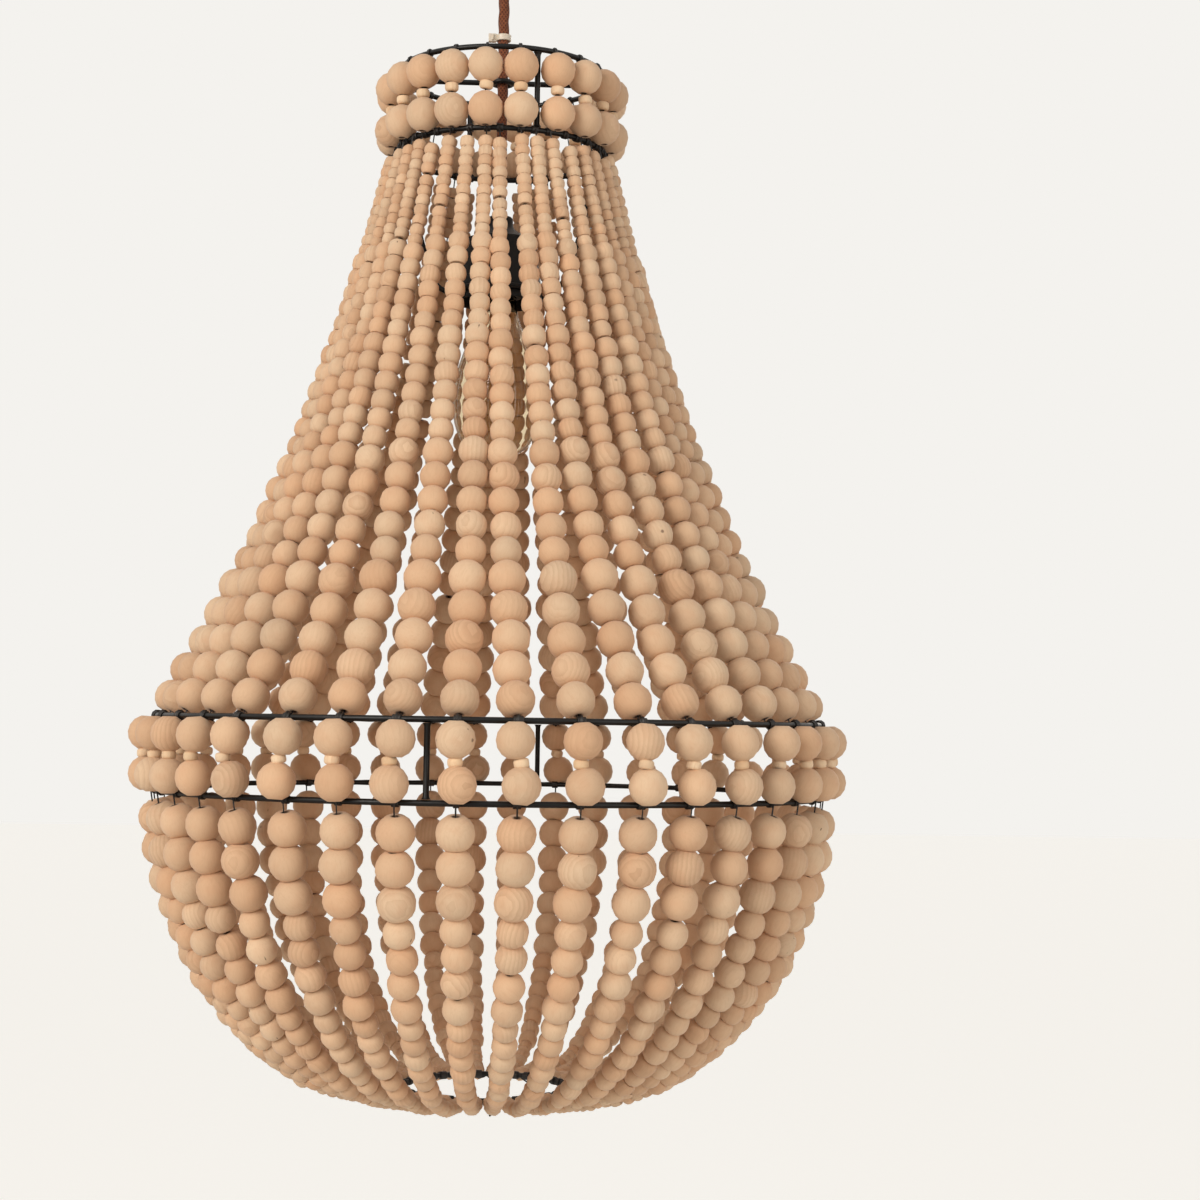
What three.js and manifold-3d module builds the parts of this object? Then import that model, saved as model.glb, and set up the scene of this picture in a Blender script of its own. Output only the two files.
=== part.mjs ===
// A beaded chandelier: wooden beads strung on a black wire frame, hung from a rose on a fabric cord.
// Millimetres, +Z up. The origin is on the ceiling, in the middle of the rose, and the lamp hangs below it.
// Angles round the lamp are counted from its front, which is -Y, towards +X.
import * as THREE from "three";
import { mergeVertices } from "three/addons/utils/BufferGeometryUtils.js";
import Module from "manifold-3d";

const wasm = await Module();
wasm.setup();

// Wires of the frame, the stringing wire and the clearance where pieces seat
const frameWireRadius = 2;
const stringRadius = 0.7;
const seatGap = 0.3;

// Heights of the frame
const ceilingToWaist = 590;
const waistToCrown = 420;
const crownRingSpacing = 58.5;
const waistRingSpacing = 52.3;
const basketDrop = 213.2;

// Rings, to the middle of the wire
const crownRadius = 76;
const waistRadius = 240;
const bottomRadius = 60;

// Turned beads, from the largest to the smallest
const largestBeadRadius = 12.5;
const largestBeadHeight = 22.5;
const bigBeadRadius = 10;
const bigBeadHeight = 18.5;
const mediumBeadRadius = 8.1;
const mediumBeadHeight = 14.2;
const smallBeadRadius = 7;
const smallBeadHeight = 11.9;
const tinyBeadRadius = 5;
const tinyBeadHeight = 7.65;
const spacerRadius = 5;

// How many strands and columns there are, and how many of them one stringing wire carries
const strandCount = 40;
const wireStrandCount = 4;
const crownColumnSpacing = 23.8;
const strandPhase = 4;
const crownPhase = 19;

// Bare wire at the ends of the strands, and how far the waist's beads stand in from its rings
const upperBare = 7;
const upperRestGap = 5;
const basketBare = 8;
const basketRestGap = 3;
const columnInset = 1;

// The crown and the waist have as many struts. Where a strut stands, the crown's columns make room for it.
const strutCount = 4;
const strutRoomShare = 1.115;

// The crown has turned this far on the waist, so the strands lean a little sideways
const crownTurn = -4;

// Pieces of the lampholder and its fixing to the frame
const cordRadius = 4.2;
const cordGap = 0.4;
const topBarAngle = 90;
const bracketAngle = 80;
const eyeletGap = 0.8;
const cupDrop = 47;
const cupHeight = 64.5;
const cupNeckRadius = 9.5;
const cupShoulderRadius = 26.5;
const cupMouthRadius = 32.7;
const cupWall = 1.2;
const bracketSeatRise = 7.5;
const coreRadius = 17.5;
const coreHeight = 37;

// The bulb
const capRadius = 13;
const capHeight = 25;
const contactRadius = 4.5;
const contactHeight = 2.6;
const bulbRadius = 32.5;
const bulbLength = 133;
const neckRadius = 12.2;
const neckDepth = 9;
const glassWall = 0.9;
const stemRadius = 2.4;
const cageTurns = 6;

// The tie on the cord
const tieRise = 34;
const tieWidth = 4.5;
const tieThickness = 1.3;
const tieHead = 6;

// The ceiling rose and what it holds
const roseRadius = 50;
const roseDepth = 25;
const roseWall = 1.2;
const roseBevel = 6;
const gripRadius = 9;
const gripLength = 13;
const gripNeckRadius = 6.5;
const nutThickness = 3;
const pivotDepth = 34;
const swingLimit = 15;
const strapWidth = 16;
const strapThickness = 1.5;
const ceilingScrewSpacing = 60;
const screwRadius = 2;
const screwLength = 8;
const headRadius = 3.8;
const headHeight = 1.8;
const roseScrewDepth = 9.6;
const blockLength = 16;
const blockWidth = 12;
const blockHeight = 9;
const blockInset = 8;
const tailRadius = 2.5;

// Heights that follow from the sizes above
const waistUpperZ = -ceilingToWaist;
const waistLowerZ = waistUpperZ - waistRingSpacing;
const crownLowerZ = waistUpperZ + waistToCrown;
const crownUpperZ = crownLowerZ + crownRingSpacing;
const bottomZ = waistLowerZ - basketDrop;

// As many columns as stand round the crown's ring, with one group of them between each two struts
const wireColumnCount = Math.floor((2 * Math.PI * crownRadius) / (strutCount * crownColumnSpacing));
const strutPitch = 360 / strutCount;

// Four-sided sections stand for round beads and wires: this share of the radius reaches their corners
const cornerShare = 1.16;
const beadSides = 4;
const wireSides = 5;
const smallSides = 8;
const roundSides = 20;
const roseSides = 28;
const shoulderShare = 0.55;
const flatShare = cornerShare * Math.cos(Math.PI / beadSides);
const besideWire = frameWireRadius + seatGap;
const hookReach = besideWire + stringRadius * cornerShare;

const part = new THREE.Group();
const degrees = (angle) => THREE.MathUtils.degToRad(angle);
const outward = (angle) => new THREE.Vector3(Math.sin(angle), -Math.cos(angle), 0);
const placed = (r, z, angle) => outward(angle).multiplyScalar(r).setZ(z);
const frontTurn = -Math.PI / 2;

// Materials
const finish = (color, roughness, metalness, extra = {}) =>
  new THREE.MeshStandardMaterial({ color, roughness, metalness, ...extra });
const blackWire = finish(0x1d1b1a, 0.55, 0.3);
const rawWood = finish(0xd0a987, 0.75, 0);
const blackShell = finish(0x191919, 0.5, 0.1);
const fabric = finish(0x8a4b33, 0.95, 0);
const nylon = finish(0xe6e2da, 0.4, 0);
const brass = finish(0xb9975b, 0.35, 1);
const clearGlass = finish(0xe9d9b8, 0.05, 0, { transparent: true, opacity: 0.35 });
const steel = finish(0x9a9a9a, 0.4, 1);

function add(name, geometry, material, place = {}) {
  const mesh = new THREE.Mesh(geometry, material);
  mesh.name = name;
  mesh.position.set(0, 0, place.z ?? 0);
  mesh.rotation.z = place.turn ?? 0;
  part.add(mesh);
  return mesh;
}

// Solids for joining and cutting
function solid(geometry) {
  const bare = geometry.clone().deleteAttribute("normal").deleteAttribute("uv");
  const merged = mergeVertices(bare);
  return new wasm.Manifold(
    new wasm.Mesh({
      numProp: 3,
      vertProperties: merged.attributes.position.array,
      triVerts: new Uint32Array(merged.index.array),
    }),
  );
}

function geometryOf(body) {
  const mesh = body.getMesh();
  return new THREE.BufferGeometry()
    .setAttribute("position", new THREE.BufferAttribute(mesh.vertProperties, 3))
    .setIndex(new THREE.BufferAttribute(mesh.triVerts, 1));
}

const join = (...pieces) => geometryOf(pieces.map(solid).reduce((sum, piece) => sum.add(piece)));
const cut = (from, ...tools) =>
  geometryOf(tools.map(solid).reduce((left, tool) => left.subtract(tool), solid(from)));

const profile = (points) => points.map(([r, z]) => new THREE.Vector2(r, z));
const closed = (points) => profile([...points, points[0]]);

// A lathe turns about Y, so each turned piece is stood up on Z
function turned(points, segments) {
  return new THREE.LatheGeometry(points, segments).rotateX(Math.PI / 2);
}

function rod(radius, length, sides) {
  return new THREE.CylinderGeometry(radius, radius, length, sides).rotateX(Math.PI / 2);
}

// A bead wire is one skin round a path. Each point says how thick the wire or the bead is there.
// Its across is the direction across the wire in an upright plane, and is the same where the wire turns.
function beadWire(path, sides) {
  const positions = [];
  const index = [];
  const phase = Math.PI / sides;
  path.forEach((point, i) => {
    const before = path[Math.max(i - 1, 0)].at;
    const after = path[Math.min(i + 1, path.length - 1)].at;
    const along = point.along
      ? point.along.clone()
      : new THREE.Vector3()
          .add(point.at.clone().sub(before).normalize())
          .add(after.clone().sub(point.at).normalize())
          .normalize();
    const v = point.across.clone().addScaledVector(along, -point.across.dot(along)).normalize();
    const u = new THREE.Vector3().crossVectors(v, along);
    for (let k = 0; k < sides; k++) {
      const angle = phase + (2 * Math.PI * k) / sides;
      const reach = point.radius * cornerShare;
      const corner = point.at
        .clone()
        .addScaledVector(u, reach * Math.cos(angle))
        .addScaledVector(v, reach * Math.sin(angle));
      positions.push(corner.x, corner.y, corner.z);
    }
  });
  for (let i = 0; i + 1 < path.length; i++) {
    for (let k = 0; k < sides; k++) {
      const a = i * sides + k;
      const b = i * sides + ((k + 1) % sides);
      index.push(a, b, a + sides, b, b + sides, a + sides);
    }
  }
  const last = (path.length - 1) * sides;
  for (let k = 1; k + 1 < sides; k++) {
    index.push(0, k + 1, k);
    index.push(last, last + k, last + k + 1);
  }
  return new THREE.BufferGeometry()
    .setAttribute("position", new THREE.Float32BufferAttribute(positions, 3))
    .setIndex(index);
}

// Stands one run's points, given as radius and height, at an angle round the lamp. Odd runs go back up.
function stood(run, angle, upwards) {
  const out = outward(angle);
  const across = ([tr, tz]) => out.clone().multiplyScalar(-tz).setZ(tr);
  const points = run.map((p) => ({
    at: placed(p.r, p.z, angle),
    radius: p.radius,
    across: across(p.way),
    along: p.corner
      ? null
      : out
          .clone()
          .multiplyScalar(p.way[0])
          .setZ(p.way[1])
          .multiplyScalar(upwards ? -1 : 1),
  }));
  return upwards ? points.reverse() : points;
}

// One stringing wire goes down a strand, along the ring, up the next strand, and so on.
// Where the strands are far apart, it bends once more on its way along the ring.
function strung(run, copies, pitch, bendsBetween = false) {
  const path = [];
  for (let i = 0; i < copies; i++) {
    const angle = (i - (copies - 1) / 2) * pitch;
    path.push(...stood(run, angle, i % 2 === 1));
    if (bendsBetween && i + 1 < copies) {
      const end = i % 2 === 0 ? run[run.length - 1] : run[0];
      path.push(...stood([end], angle + pitch / 2, false));
    }
  }
  return beadWire(path, beadSides);
}

// Turns a shape about the lamp's axis, by nothing at one height and by the whole angle at another
function turnWithHeight(geometry, stillZ, turnedZ, angle) {
  const axis = new THREE.Vector3(0, 0, 1);
  const corners = geometry.getAttribute("position");
  const corner = new THREE.Vector3();
  for (let i = 0; i < corners.count; i++) {
    corner.fromBufferAttribute(corners, i);
    corner.applyAxisAngle(axis, angle * THREE.MathUtils.inverseLerp(stillZ, turnedZ, corner.z));
    corners.setXYZ(i, corner.x, corner.y, corner.z);
  }
}

const down = [0, -1];
const hook = (r, z, way = down) => ({ r, z, radius: stringRadius, way, corner: true });

// Beads threaded along a curve from one distance to another. The stack is pulled tight between the two.
// The larger beads are drawn one by one, and runs of smaller ones as one swelling length.
function threaded(curve, from, to, runs) {
  const length = curve.getLength();
  const natural = runs.reduce((sum, { bead, count }) => sum + count * bead.height, 0);
  const tension = (to - from) / natural;
  const points = [];
  const put = (distance, radius) => {
    const at = curve.getPointAt(distance / length);
    const way = curve.getTangentAt(distance / length);
    points.push({ r: at.x, z: at.y, radius, way: [way.x, way.y] });
  };
  let along = from;
  runs.forEach(({ bead, count, single }, i) => {
    const height = bead.height * tension;
    if (single) {
      for (let k = 0; k < count; k++) {
        put(along, bead.radius * shoulderShare);
        put(along + height / 2, bead.radius);
        along += height;
      }
      put(along, bead.radius * shoulderShare);
    } else {
      const share = i === 0 ? 0 : i === runs.length - 1 ? 1 : 1 / 2;
      put(along + height * count * share, bead.radius);
      along += height * count;
    }
  });
  return points;
}

const largestBead = { radius: largestBeadRadius, height: largestBeadHeight };
const bigBead = { radius: bigBeadRadius, height: bigBeadHeight };
const mediumBead = { radius: mediumBeadRadius, height: mediumBeadHeight };
const smallBead = { radius: smallBeadRadius, height: smallBeadHeight };
const tinyBead = { radius: tinyBeadRadius, height: tinyBeadHeight };

// An upright column between two rings: a bead, a spacer and a bead
function column(axisRadius, topZ, bottomZ) {
  const at = (z, radius) => ({ r: axisRadius, z, radius, way: down });
  const { radius, height } = largestBead;
  return [
    at(topZ, radius * shoulderShare),
    at(topZ - height / 2, radius),
    at((topZ + bottomZ) / 2, spacerRadius),
    at(bottomZ + height / 2, radius),
    at(bottomZ, radius * shoulderShare),
  ];
}

// The frame's rings and struts
function ring(name, radius, z, segments, phase) {
  const shape = new THREE.TorusGeometry(radius, frameWireRadius, wireSides, segments);
  add(name, shape, blackWire, { z, turn: degrees(phase) + frontTurn });
}

ring("crown_upper_ring", crownRadius, crownUpperZ, 2 * strutCount * wireColumnCount, crownPhase);
ring("crown_lower_ring", crownRadius, crownLowerZ, strandCount / 2, strandPhase + crownTurn);
ring("waist_upper_ring", waistRadius, waistUpperZ, strandCount, strandPhase);
ring("waist_lower_ring", waistRadius, waistLowerZ, strandCount, strandPhase);
ring("bottom_ring", bottomRadius, bottomZ, strandCount / 2, strandPhase);

function strut(name, radius, topZ, lowZ, angle) {
  const shape = rod(frameWireRadius, topZ - lowZ - 2 * besideWire, wireSides);
  const mesh = add(name, shape, blackWire);
  mesh.position.copy(placed(radius, (topZ + lowZ) / 2, degrees(angle)));
}

// The struts stand half-way between two columns
const strandPitch = 360 / strandCount;
const waistPhase = strandPhase - strandPitch * (3 / 2);
for (let i = 0; i < strutCount; i++) {
  strut(`crown_strut_${i + 1}`, crownRadius, crownUpperZ, crownLowerZ, crownPhase + i * strutPitch);
  strut(`waist_strut_${i + 1}`, waistRadius, waistUpperZ, waistLowerZ, waistPhase + i * strutPitch);
}

// Crown columns stand between the crown's two rings, a little outside them
const crownTuckShare = 0.4;
const largestHalf = largestBeadRadius * flatShare;
const crownAxis = crownRadius + besideWire + largestHalf * crownTuckShare;
const crownColumnTop = crownUpperZ - frameWireRadius - 2 * seatGap;
const crownColumnBottom = crownLowerZ + hookReach + 2 * stringRadius + seatGap;
const crownRun = [
  hook(crownRadius + hookReach, crownUpperZ),
  ...column(crownAxis, crownColumnTop, crownColumnBottom),
  hook(crownAxis, crownColumnBottom - 2 * stringRadius),
];
const crownPitch = strutPitch / (wireColumnCount - 1 + strutRoomShare);
const crownBeads = strung(crownRun, wireColumnCount, degrees(crownPitch), true);
for (let i = 0; i < strutCount; i++) {
  const middle = crownPhase + (i + 1 / 2) * strutPitch;
  add(`crown_beads_${i + 1}`, crownBeads, rawWood, { turn: degrees(middle) });
}

// Upper strands fall from the crown's lower ring, close in at first, and swing out to the waist
const pinchRadiusShare = 0.335;
const pinchHeightShare = 0.474;
const upperStart = crownRadius + hookReach;
const upperEnd = waistRadius - hookReach;
const upperCurve = new THREE.QuadraticBezierCurve(
  new THREE.Vector2(upperStart, crownLowerZ),
  new THREE.Vector2(
    THREE.MathUtils.lerp(upperStart, upperEnd, pinchRadiusShare),
    THREE.MathUtils.lerp(waistUpperZ, crownLowerZ, pinchHeightShare),
  ),
  new THREE.Vector2(upperEnd, waistUpperZ),
);
const upperWayIn = upperCurve.getTangentAt(0);
const upperWayOut = upperCurve.getTangentAt(1);
const bareTop = upperCurve.getPointAt((upperBare - stringRadius) / upperCurve.getLength());
const upperRun = [
  hook(upperStart, crownLowerZ, [upperWayIn.x, upperWayIn.y]),
  { r: bareTop.x, z: bareTop.y, radius: stringRadius, way: [upperWayIn.x, upperWayIn.y] },
  ...threaded(upperCurve, upperBare, upperCurve.getLength() - upperRestGap, [
    { bead: tinyBead, count: 10 },
    { bead: smallBead, count: 6 },
    { bead: mediumBead, count: 6 },
    { bead: bigBead, count: 5 },
    { bead: largestBead, count: 5, single: true },
  ]),
  hook(upperEnd, waistUpperZ, [upperWayOut.x, upperWayOut.y]),
];
const stringWires = strandCount / wireStrandCount;
const wireMiddle = (i) => strandPhase + (i * wireStrandCount + (wireStrandCount - 1) / 2) * strandPitch;
const twoDigits = (i) => String(i + 1).padStart(2, "0");
const upperBeads = strung(upperRun, wireStrandCount, degrees(strandPitch));
turnWithHeight(upperBeads, waistUpperZ, crownLowerZ, degrees(crownTurn));
for (let i = 0; i < stringWires; i++) {
  add(`upper_strands_${twoDigits(i)}`, upperBeads, rawWood, { turn: degrees(wireMiddle(i)) });
}

// The basket's strands start as upright columns round the waist, and below it swing in to the bottom ring.
// Their line is a quarter of an oval whose corner is fuller than an ellipse's.
class BasketLine extends THREE.Curve {
  getPoint(t, target = new THREE.Vector2()) {
    const turn = (t * Math.PI) / 2;
    const bend = 2 / basketFullness;
    return target.set(
      THREE.MathUtils.lerp(basketEnd, basketStart, Math.cos(turn) ** bend),
      THREE.MathUtils.lerp(waistLowerZ, bottomZ, Math.sin(turn) ** bend),
    );
  }
}
const basketFullness = 2.2;
const basketStart = waistRadius + hookReach;
const basketEnd = bottomRadius + hookReach;
const basketCurve = new BasketLine();
const waistTuckShare = 0.62;
const waistAxis = waistRadius + besideWire + largestHalf * waistTuckShare;
const bareBelow = stringRadius * 5;
const basketRun = [
  hook(waistRadius + hookReach, waistUpperZ),
  ...column(waistAxis, waistUpperZ - columnInset, waistLowerZ - columnInset / 2),
  { r: basketStart, z: waistLowerZ - bareBelow, radius: stringRadius, way: down },
  ...threaded(basketCurve, basketBare, basketCurve.getLength() - basketRestGap, [
    { bead: largestBead, count: 3 },
    { bead: bigBead, count: 4 },
    { bead: mediumBead, count: 4 },
    { bead: smallBead, count: 3 },
    { bead: tinyBead, count: 9 },
  ]),
  hook(basketEnd, bottomZ, [-1, 0]),
];
const basketBeads = strung(basketRun, wireStrandCount, degrees(strandPitch));
for (let i = 0; i < stringWires; i++) {
  add(`basket_strands_${twoDigits(i)}`, basketBeads, rawWood, { turn: degrees(wireMiddle(i)) });
}

// The top bar lies under the crown's upper ring. The cord passes through the eyelet in its middle.
const barZ = crownUpperZ - 2 * frameWireRadius - seatGap;
const eyeletRadius = cordRadius + eyeletGap + frameWireRadius;
const barHalf = crownRadius - eyeletRadius;
const barRod = () => rod(frameWireRadius, barHalf, wireSides).rotateX(Math.PI / 2);
const barMiddle = (crownRadius + eyeletRadius) / 2;
const topBar = join(
  new THREE.TorusGeometry(eyeletRadius, frameWireRadius, wireSides, smallSides),
  barRod().translate(0, barMiddle, 0),
  barRod().translate(0, -barMiddle, 0),
);
add("top_bar", topBar, blackWire, { z: barZ, turn: degrees(topBarAngle) });

// Lampholder: a bell-shaped cup with the socket core inside. Its outline is given from the mouth up.
const cupTopZ = crownLowerZ - cupDrop;
const cupMouthZ = cupTopZ - cupHeight;
const cupFlareShare = 0.3;
const cupFlareHeightShare = 0.25;
const cupShoulderHeightShare = 0.685;
const cupBrowHeightShare = 0.72;
const cupSlopeHeightShare = 0.78;
const cupNeckHeightShare = 0.88;
const cupLine = (share) => cupMouthZ + share * cupHeight;
const cupFlareRadius = THREE.MathUtils.lerp(cupMouthRadius, cupShoulderRadius, cupFlareShare);
const cupSeatZ = cupLine(cupShoulderHeightShare) - 2 * cupWall;
const cordHole = cordRadius + cordGap;
const cup = turned(
  closed([
    [cupMouthRadius, cupMouthZ],
    [cupFlareRadius, cupLine(cupFlareHeightShare)],
    [cupShoulderRadius, cupLine(cupShoulderHeightShare)],
    [cupShoulderRadius - cupWall, cupLine(cupBrowHeightShare)],
    [(cupNeckRadius + cupShoulderRadius) / 2, cupLine(cupSlopeHeightShare)],
    [cupNeckRadius + cupWall, cupLine(cupNeckHeightShare)],
    [cupNeckRadius, cupTopZ - cupWall],
    [cupNeckRadius - cupWall, cupTopZ],
    [cordHole, cupTopZ],
    [cordHole, cupSeatZ],
    [cupShoulderRadius - cupWall, cupSeatZ],
    [cupFlareRadius - cupWall, cupLine(cupFlareHeightShare)],
    [cupMouthRadius - cupWall, cupMouthZ],
  ]),
  roundSides,
);
add("lampholder_cup", cup, blackShell);

const coreTopZ = cupSeatZ - seatGap;
const coreMouthZ = coreTopZ - coreHeight;
const boreRadius = capRadius + cordGap;
const boreTopZ = coreTopZ - 3 * cupWall;
const core = turned(
  profile([
    [0, boreTopZ],
    [boreRadius, boreTopZ],
    [boreRadius, coreMouthZ],
    [coreRadius, coreMouthZ],
    [coreRadius, coreTopZ - cupWall],
    [coreRadius - cupWall, coreTopZ],
    [0, coreTopZ],
  ]),
  roundSides,
);
add("lampholder_core", core, blackShell);

// The drop bracket's two legs come down from the crown's lower ring to a seat ring round the cup's flare
const seatZ = cupMouthZ + bracketSeatRise;
const seatShare = bracketSeatRise / (cupFlareHeightShare * cupHeight);
const cupAtSeat = THREE.MathUtils.lerp(cupMouthRadius, cupFlareRadius, seatShare);
const seatRadius = cupAtSeat + 2 * seatGap + frameWireRadius;
const legTopRadius = crownRadius - 2 * frameWireRadius - seatGap;
const legRadiusShares = [1, 0.88, 0.72, 0.45, 0.29, 0];
const legHeightShares = [1, 0.75, 0.46, 0.15, 0.05, 0];
const legPath = new THREE.CatmullRomCurve3(
  legRadiusShares.map(
    (share, i) =>
      new THREE.Vector3(
        0,
        THREE.MathUtils.lerp(seatRadius, legTopRadius, share),
        THREE.MathUtils.lerp(seatZ, crownLowerZ, legHeightShares[i]),
      ),
  ),
);
const polygon = (radius, sides) =>
  new THREE.Shape(
    Array.from({ length: sides }, (_, k) => {
      const angle = (2 * Math.PI * k) / sides;
      return new THREE.Vector2(radius * Math.cos(angle), radius * Math.sin(angle));
    }),
  );
const tube = (curve, radius, sides, steps) =>
  new THREE.ExtrudeGeometry(polygon(radius, sides), { extrudePath: curve, steps });
const legSteps = 8;
const leg = tube(legPath, frameWireRadius, wireSides, legSteps);
const bracket = join(
  new THREE.TorusGeometry(seatRadius, frameWireRadius, wireSides, roundSides).translate(0, 0, seatZ),
  leg,
  leg.clone().rotateZ(Math.PI),
);
add("holder_bracket", bracket, blackWire, { turn: degrees(bracketAngle) });

// The bulb: a screw cap, a clear pear-shaped glass and a squirrel-cage filament on its stem
const capTopZ = boreTopZ - contactHeight - cordGap;
const capMouthZ = capTopZ - capHeight;
const capWall = capRadius - neckRadius - seatGap;
const capNoseShare = 0.78;
const cap = turned(
  profile([
    [0, capMouthZ + neckDepth],
    [capRadius - capWall, capMouthZ + neckDepth],
    [capRadius - capWall, capMouthZ],
    [capRadius, capMouthZ],
    [capRadius, capTopZ - contactHeight],
    [capRadius * capNoseShare, capTopZ - contactHeight / 2],
    [contactRadius, capTopZ],
    [contactRadius, capTopZ + contactHeight],
    [0, capTopZ + contactHeight],
  ]),
  roundSides,
);
add("bulb_cap", cap, brass);

const neckTopZ = capMouthZ + neckDepth - seatGap;
const glassRadiusShares = [0.34, 0.72, 0.95, 1, 0.92, 0.72, 0.46];
const glassHeightShares = [0.006, 0.06, 0.18, 0.32, 0.47, 0.62, 0.78];
const glassLine = (inset) => {
  const low = neckTopZ - bulbLength + inset;
  return [
    [0, low],
    ...glassRadiusShares.map((share, i) => [
      bulbRadius * share - inset,
      low + (neckTopZ - low) * glassHeightShares[i],
    ]),
    [neckRadius - inset, neckTopZ - neckDepth],
    [neckRadius - inset, neckTopZ],
  ];
};
const glass = turned(profile([...glassLine(0), ...glassLine(glassWall).reverse()]), roundSides);
add("bulb_glass", glass, clearGlass);

const stemDiscRadius = neckRadius - glassWall - seatGap;
const stemTopZ = neckTopZ - neckDepth / 2;
const stemLengthShare = 0.52;
const stemLowZ = stemTopZ - bulbLength * stemLengthShare;
const stem = turned(
  profile([
    [0, stemLowZ],
    [stemRadius, stemLowZ],
    [stemRadius, stemTopZ - neckDepth],
    [stemDiscRadius, stemTopZ - stemRadius],
    [stemDiscRadius, stemTopZ],
    [0, stemTopZ],
  ]),
  smallSides,
);
const cageRadiusShare = 0.3;
const cageHeightShare = 0.7;
const cageTurnShare = 0.91;
const cageRadius = bulbRadius * cageRadiusShare;
const cageTopZ = THREE.MathUtils.lerp(stemLowZ, stemTopZ, cageHeightShare);
const cageLowZ = stemLowZ - stemRadius;
const cagePoint = (r, z, angle) => ({
  at: placed(r, z, angle),
  radius: stringRadius,
  across: outward(angle),
});
const cageEnds = 2 * cageTurns;
const cageAngle = (i) => (i / cageEnds) * 2 * Math.PI * cageTurnShare;
const cagePath = [cagePoint(0, cageTopZ, 0)];
for (let i = 0; i <= cageEnds; i++) {
  cagePath.push(cagePoint(cageRadius, i % 2 ? cageLowZ : cageTopZ, cageAngle(i)));
}
cagePath.push(cagePoint(0, cageTopZ + stemRadius, cageAngle(cageEnds)));
const filament = join(stem, beadWire(cagePath, beadSides));
add("bulb_filament", filament, steel);

// The suspension cord runs from the grip down through the eyelet into the cup's neck
const pivotZ = -pivotDepth;
const cordEndZ = cupSeatZ + seatGap;
const cordSides = 10;
const cordSteps = 8;
const cordLine = Array.from({ length: cordSteps }, (_, i) => [
  cordRadius,
  THREE.MathUtils.lerp(cordEndZ, pivotZ, i / cordSteps),
]);
const domeSteps = 3;
const dome = (radius) =>
  Array.from({ length: domeSteps + 1 }, (_, i) => {
    const angle = ((i / domeSteps) * Math.PI) / 2;
    return [i < domeSteps ? radius * Math.cos(angle) : 0, pivotZ + radius * Math.sin(angle)];
  });
const cord = turned(profile([[0, cordEndZ], ...cordLine, ...dome(cordRadius)]), cordSides);
add("suspension_cord", cord, fabric);

// A cable tie grips the cord above the top bar, with its head to the left
const tieZ = barZ + tieRise;
const tieInner = cordRadius + seatGap;
const tieOuter = tieInner + tieThickness;
const tieBand = turned(
  closed([
    [tieInner, -tieWidth / 2],
    [tieOuter, -tieWidth / 2],
    [tieOuter, tieWidth / 2],
    [tieInner, tieWidth / 2],
  ]),
  2 * smallSides,
);
const tieHeadDepthShare = 0.8;
const tieHeadBox = new THREE.BoxGeometry(tieHead, tieHead * tieHeadDepthShare, tieHead);
tieHeadBox.translate(-(tieInner + tieThickness / 2 + tieHead / 2), 0, 0);
add("cable_tie", join(tieBand, tieHeadBox), nylon, { z: tieZ });

// Ceiling rose: a pressed steel cup with the cord grip in its middle
const roseHole = gripNeckRadius + seatGap;
const roseZ = -roseDepth;
const rose = turned(
  closed([
    [roseHole, roseZ],
    [roseRadius - roseBevel, roseZ],
    [roseRadius - roseBevel / 3, roseZ + roseBevel / 3],
    [roseRadius, roseZ + roseBevel],
    [roseRadius, 0],
    [roseRadius - roseWall, 0],
    [roseRadius - roseWall, roseZ + roseBevel],
    [roseRadius - roseBevel / 3 - roseWall, roseZ + roseBevel / 3 + roseWall],
    [roseRadius - roseBevel - roseWall / 2, roseZ + roseWall],
    [roseHole, roseZ + roseWall],
  ]),
  roseSides,
);
const screwHoleRadius = screwRadius + seatGap;
const screwHole = rod(screwHoleRadius, roseRadius * 3, smallSides)
  .rotateY(Math.PI / 2)
  .translate(0, 0, -roseScrewDepth);
add("ceiling_rose", cut(rose, screwHole), blackShell);

// The grip turns in the rose. Its rounded seat and flared mouth let the cord lean in any direction.
const gripTopZ = roseZ - seatGap;
const gripMouthZ = gripTopZ - gripLength;
const nutBottomZ = roseZ + roseWall + seatGap;
const gripNeckTop = nutBottomZ + nutThickness;
const seatBallRadius = cordRadius + cordGap;
const mouthRadius = seatBallRadius + (pivotZ - gripMouthZ) * Math.tan(degrees(swingLimit)) + cordGap;
const grip = turned(
  profile([
    ...dome(seatBallRadius).reverse(),
    [mouthRadius, gripMouthZ],
    [gripRadius - roseWall, gripMouthZ],
    [gripRadius, gripMouthZ + roseWall],
    [gripRadius, gripTopZ],
    [gripNeckRadius, gripTopZ],
    [gripNeckRadius, gripNeckTop],
    [0, gripNeckTop],
  ]),
  roundSides,
);
add("cord_grip", grip, blackShell);
const nutSides = 6;
const nut = turned(
  closed([
    [gripNeckRadius + seatGap, nutBottomZ],
    [gripRadius + roseWall, nutBottomZ],
    [gripRadius + roseWall, gripNeckTop],
    [gripNeckRadius + seatGap, gripNeckTop],
  ]),
  nutSides,
);
const nutRound = turned(
  profile([
    [0, nutBottomZ - roseWall],
    [gripNeckRadius + seatGap, nutBottomZ - roseWall],
    [gripNeckRadius + seatGap, gripNeckTop + roseWall],
    [0, gripNeckTop + roseWall],
  ]),
  roundSides,
);
add("grip_nut", cut(nut, nutRound), blackShell);

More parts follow.
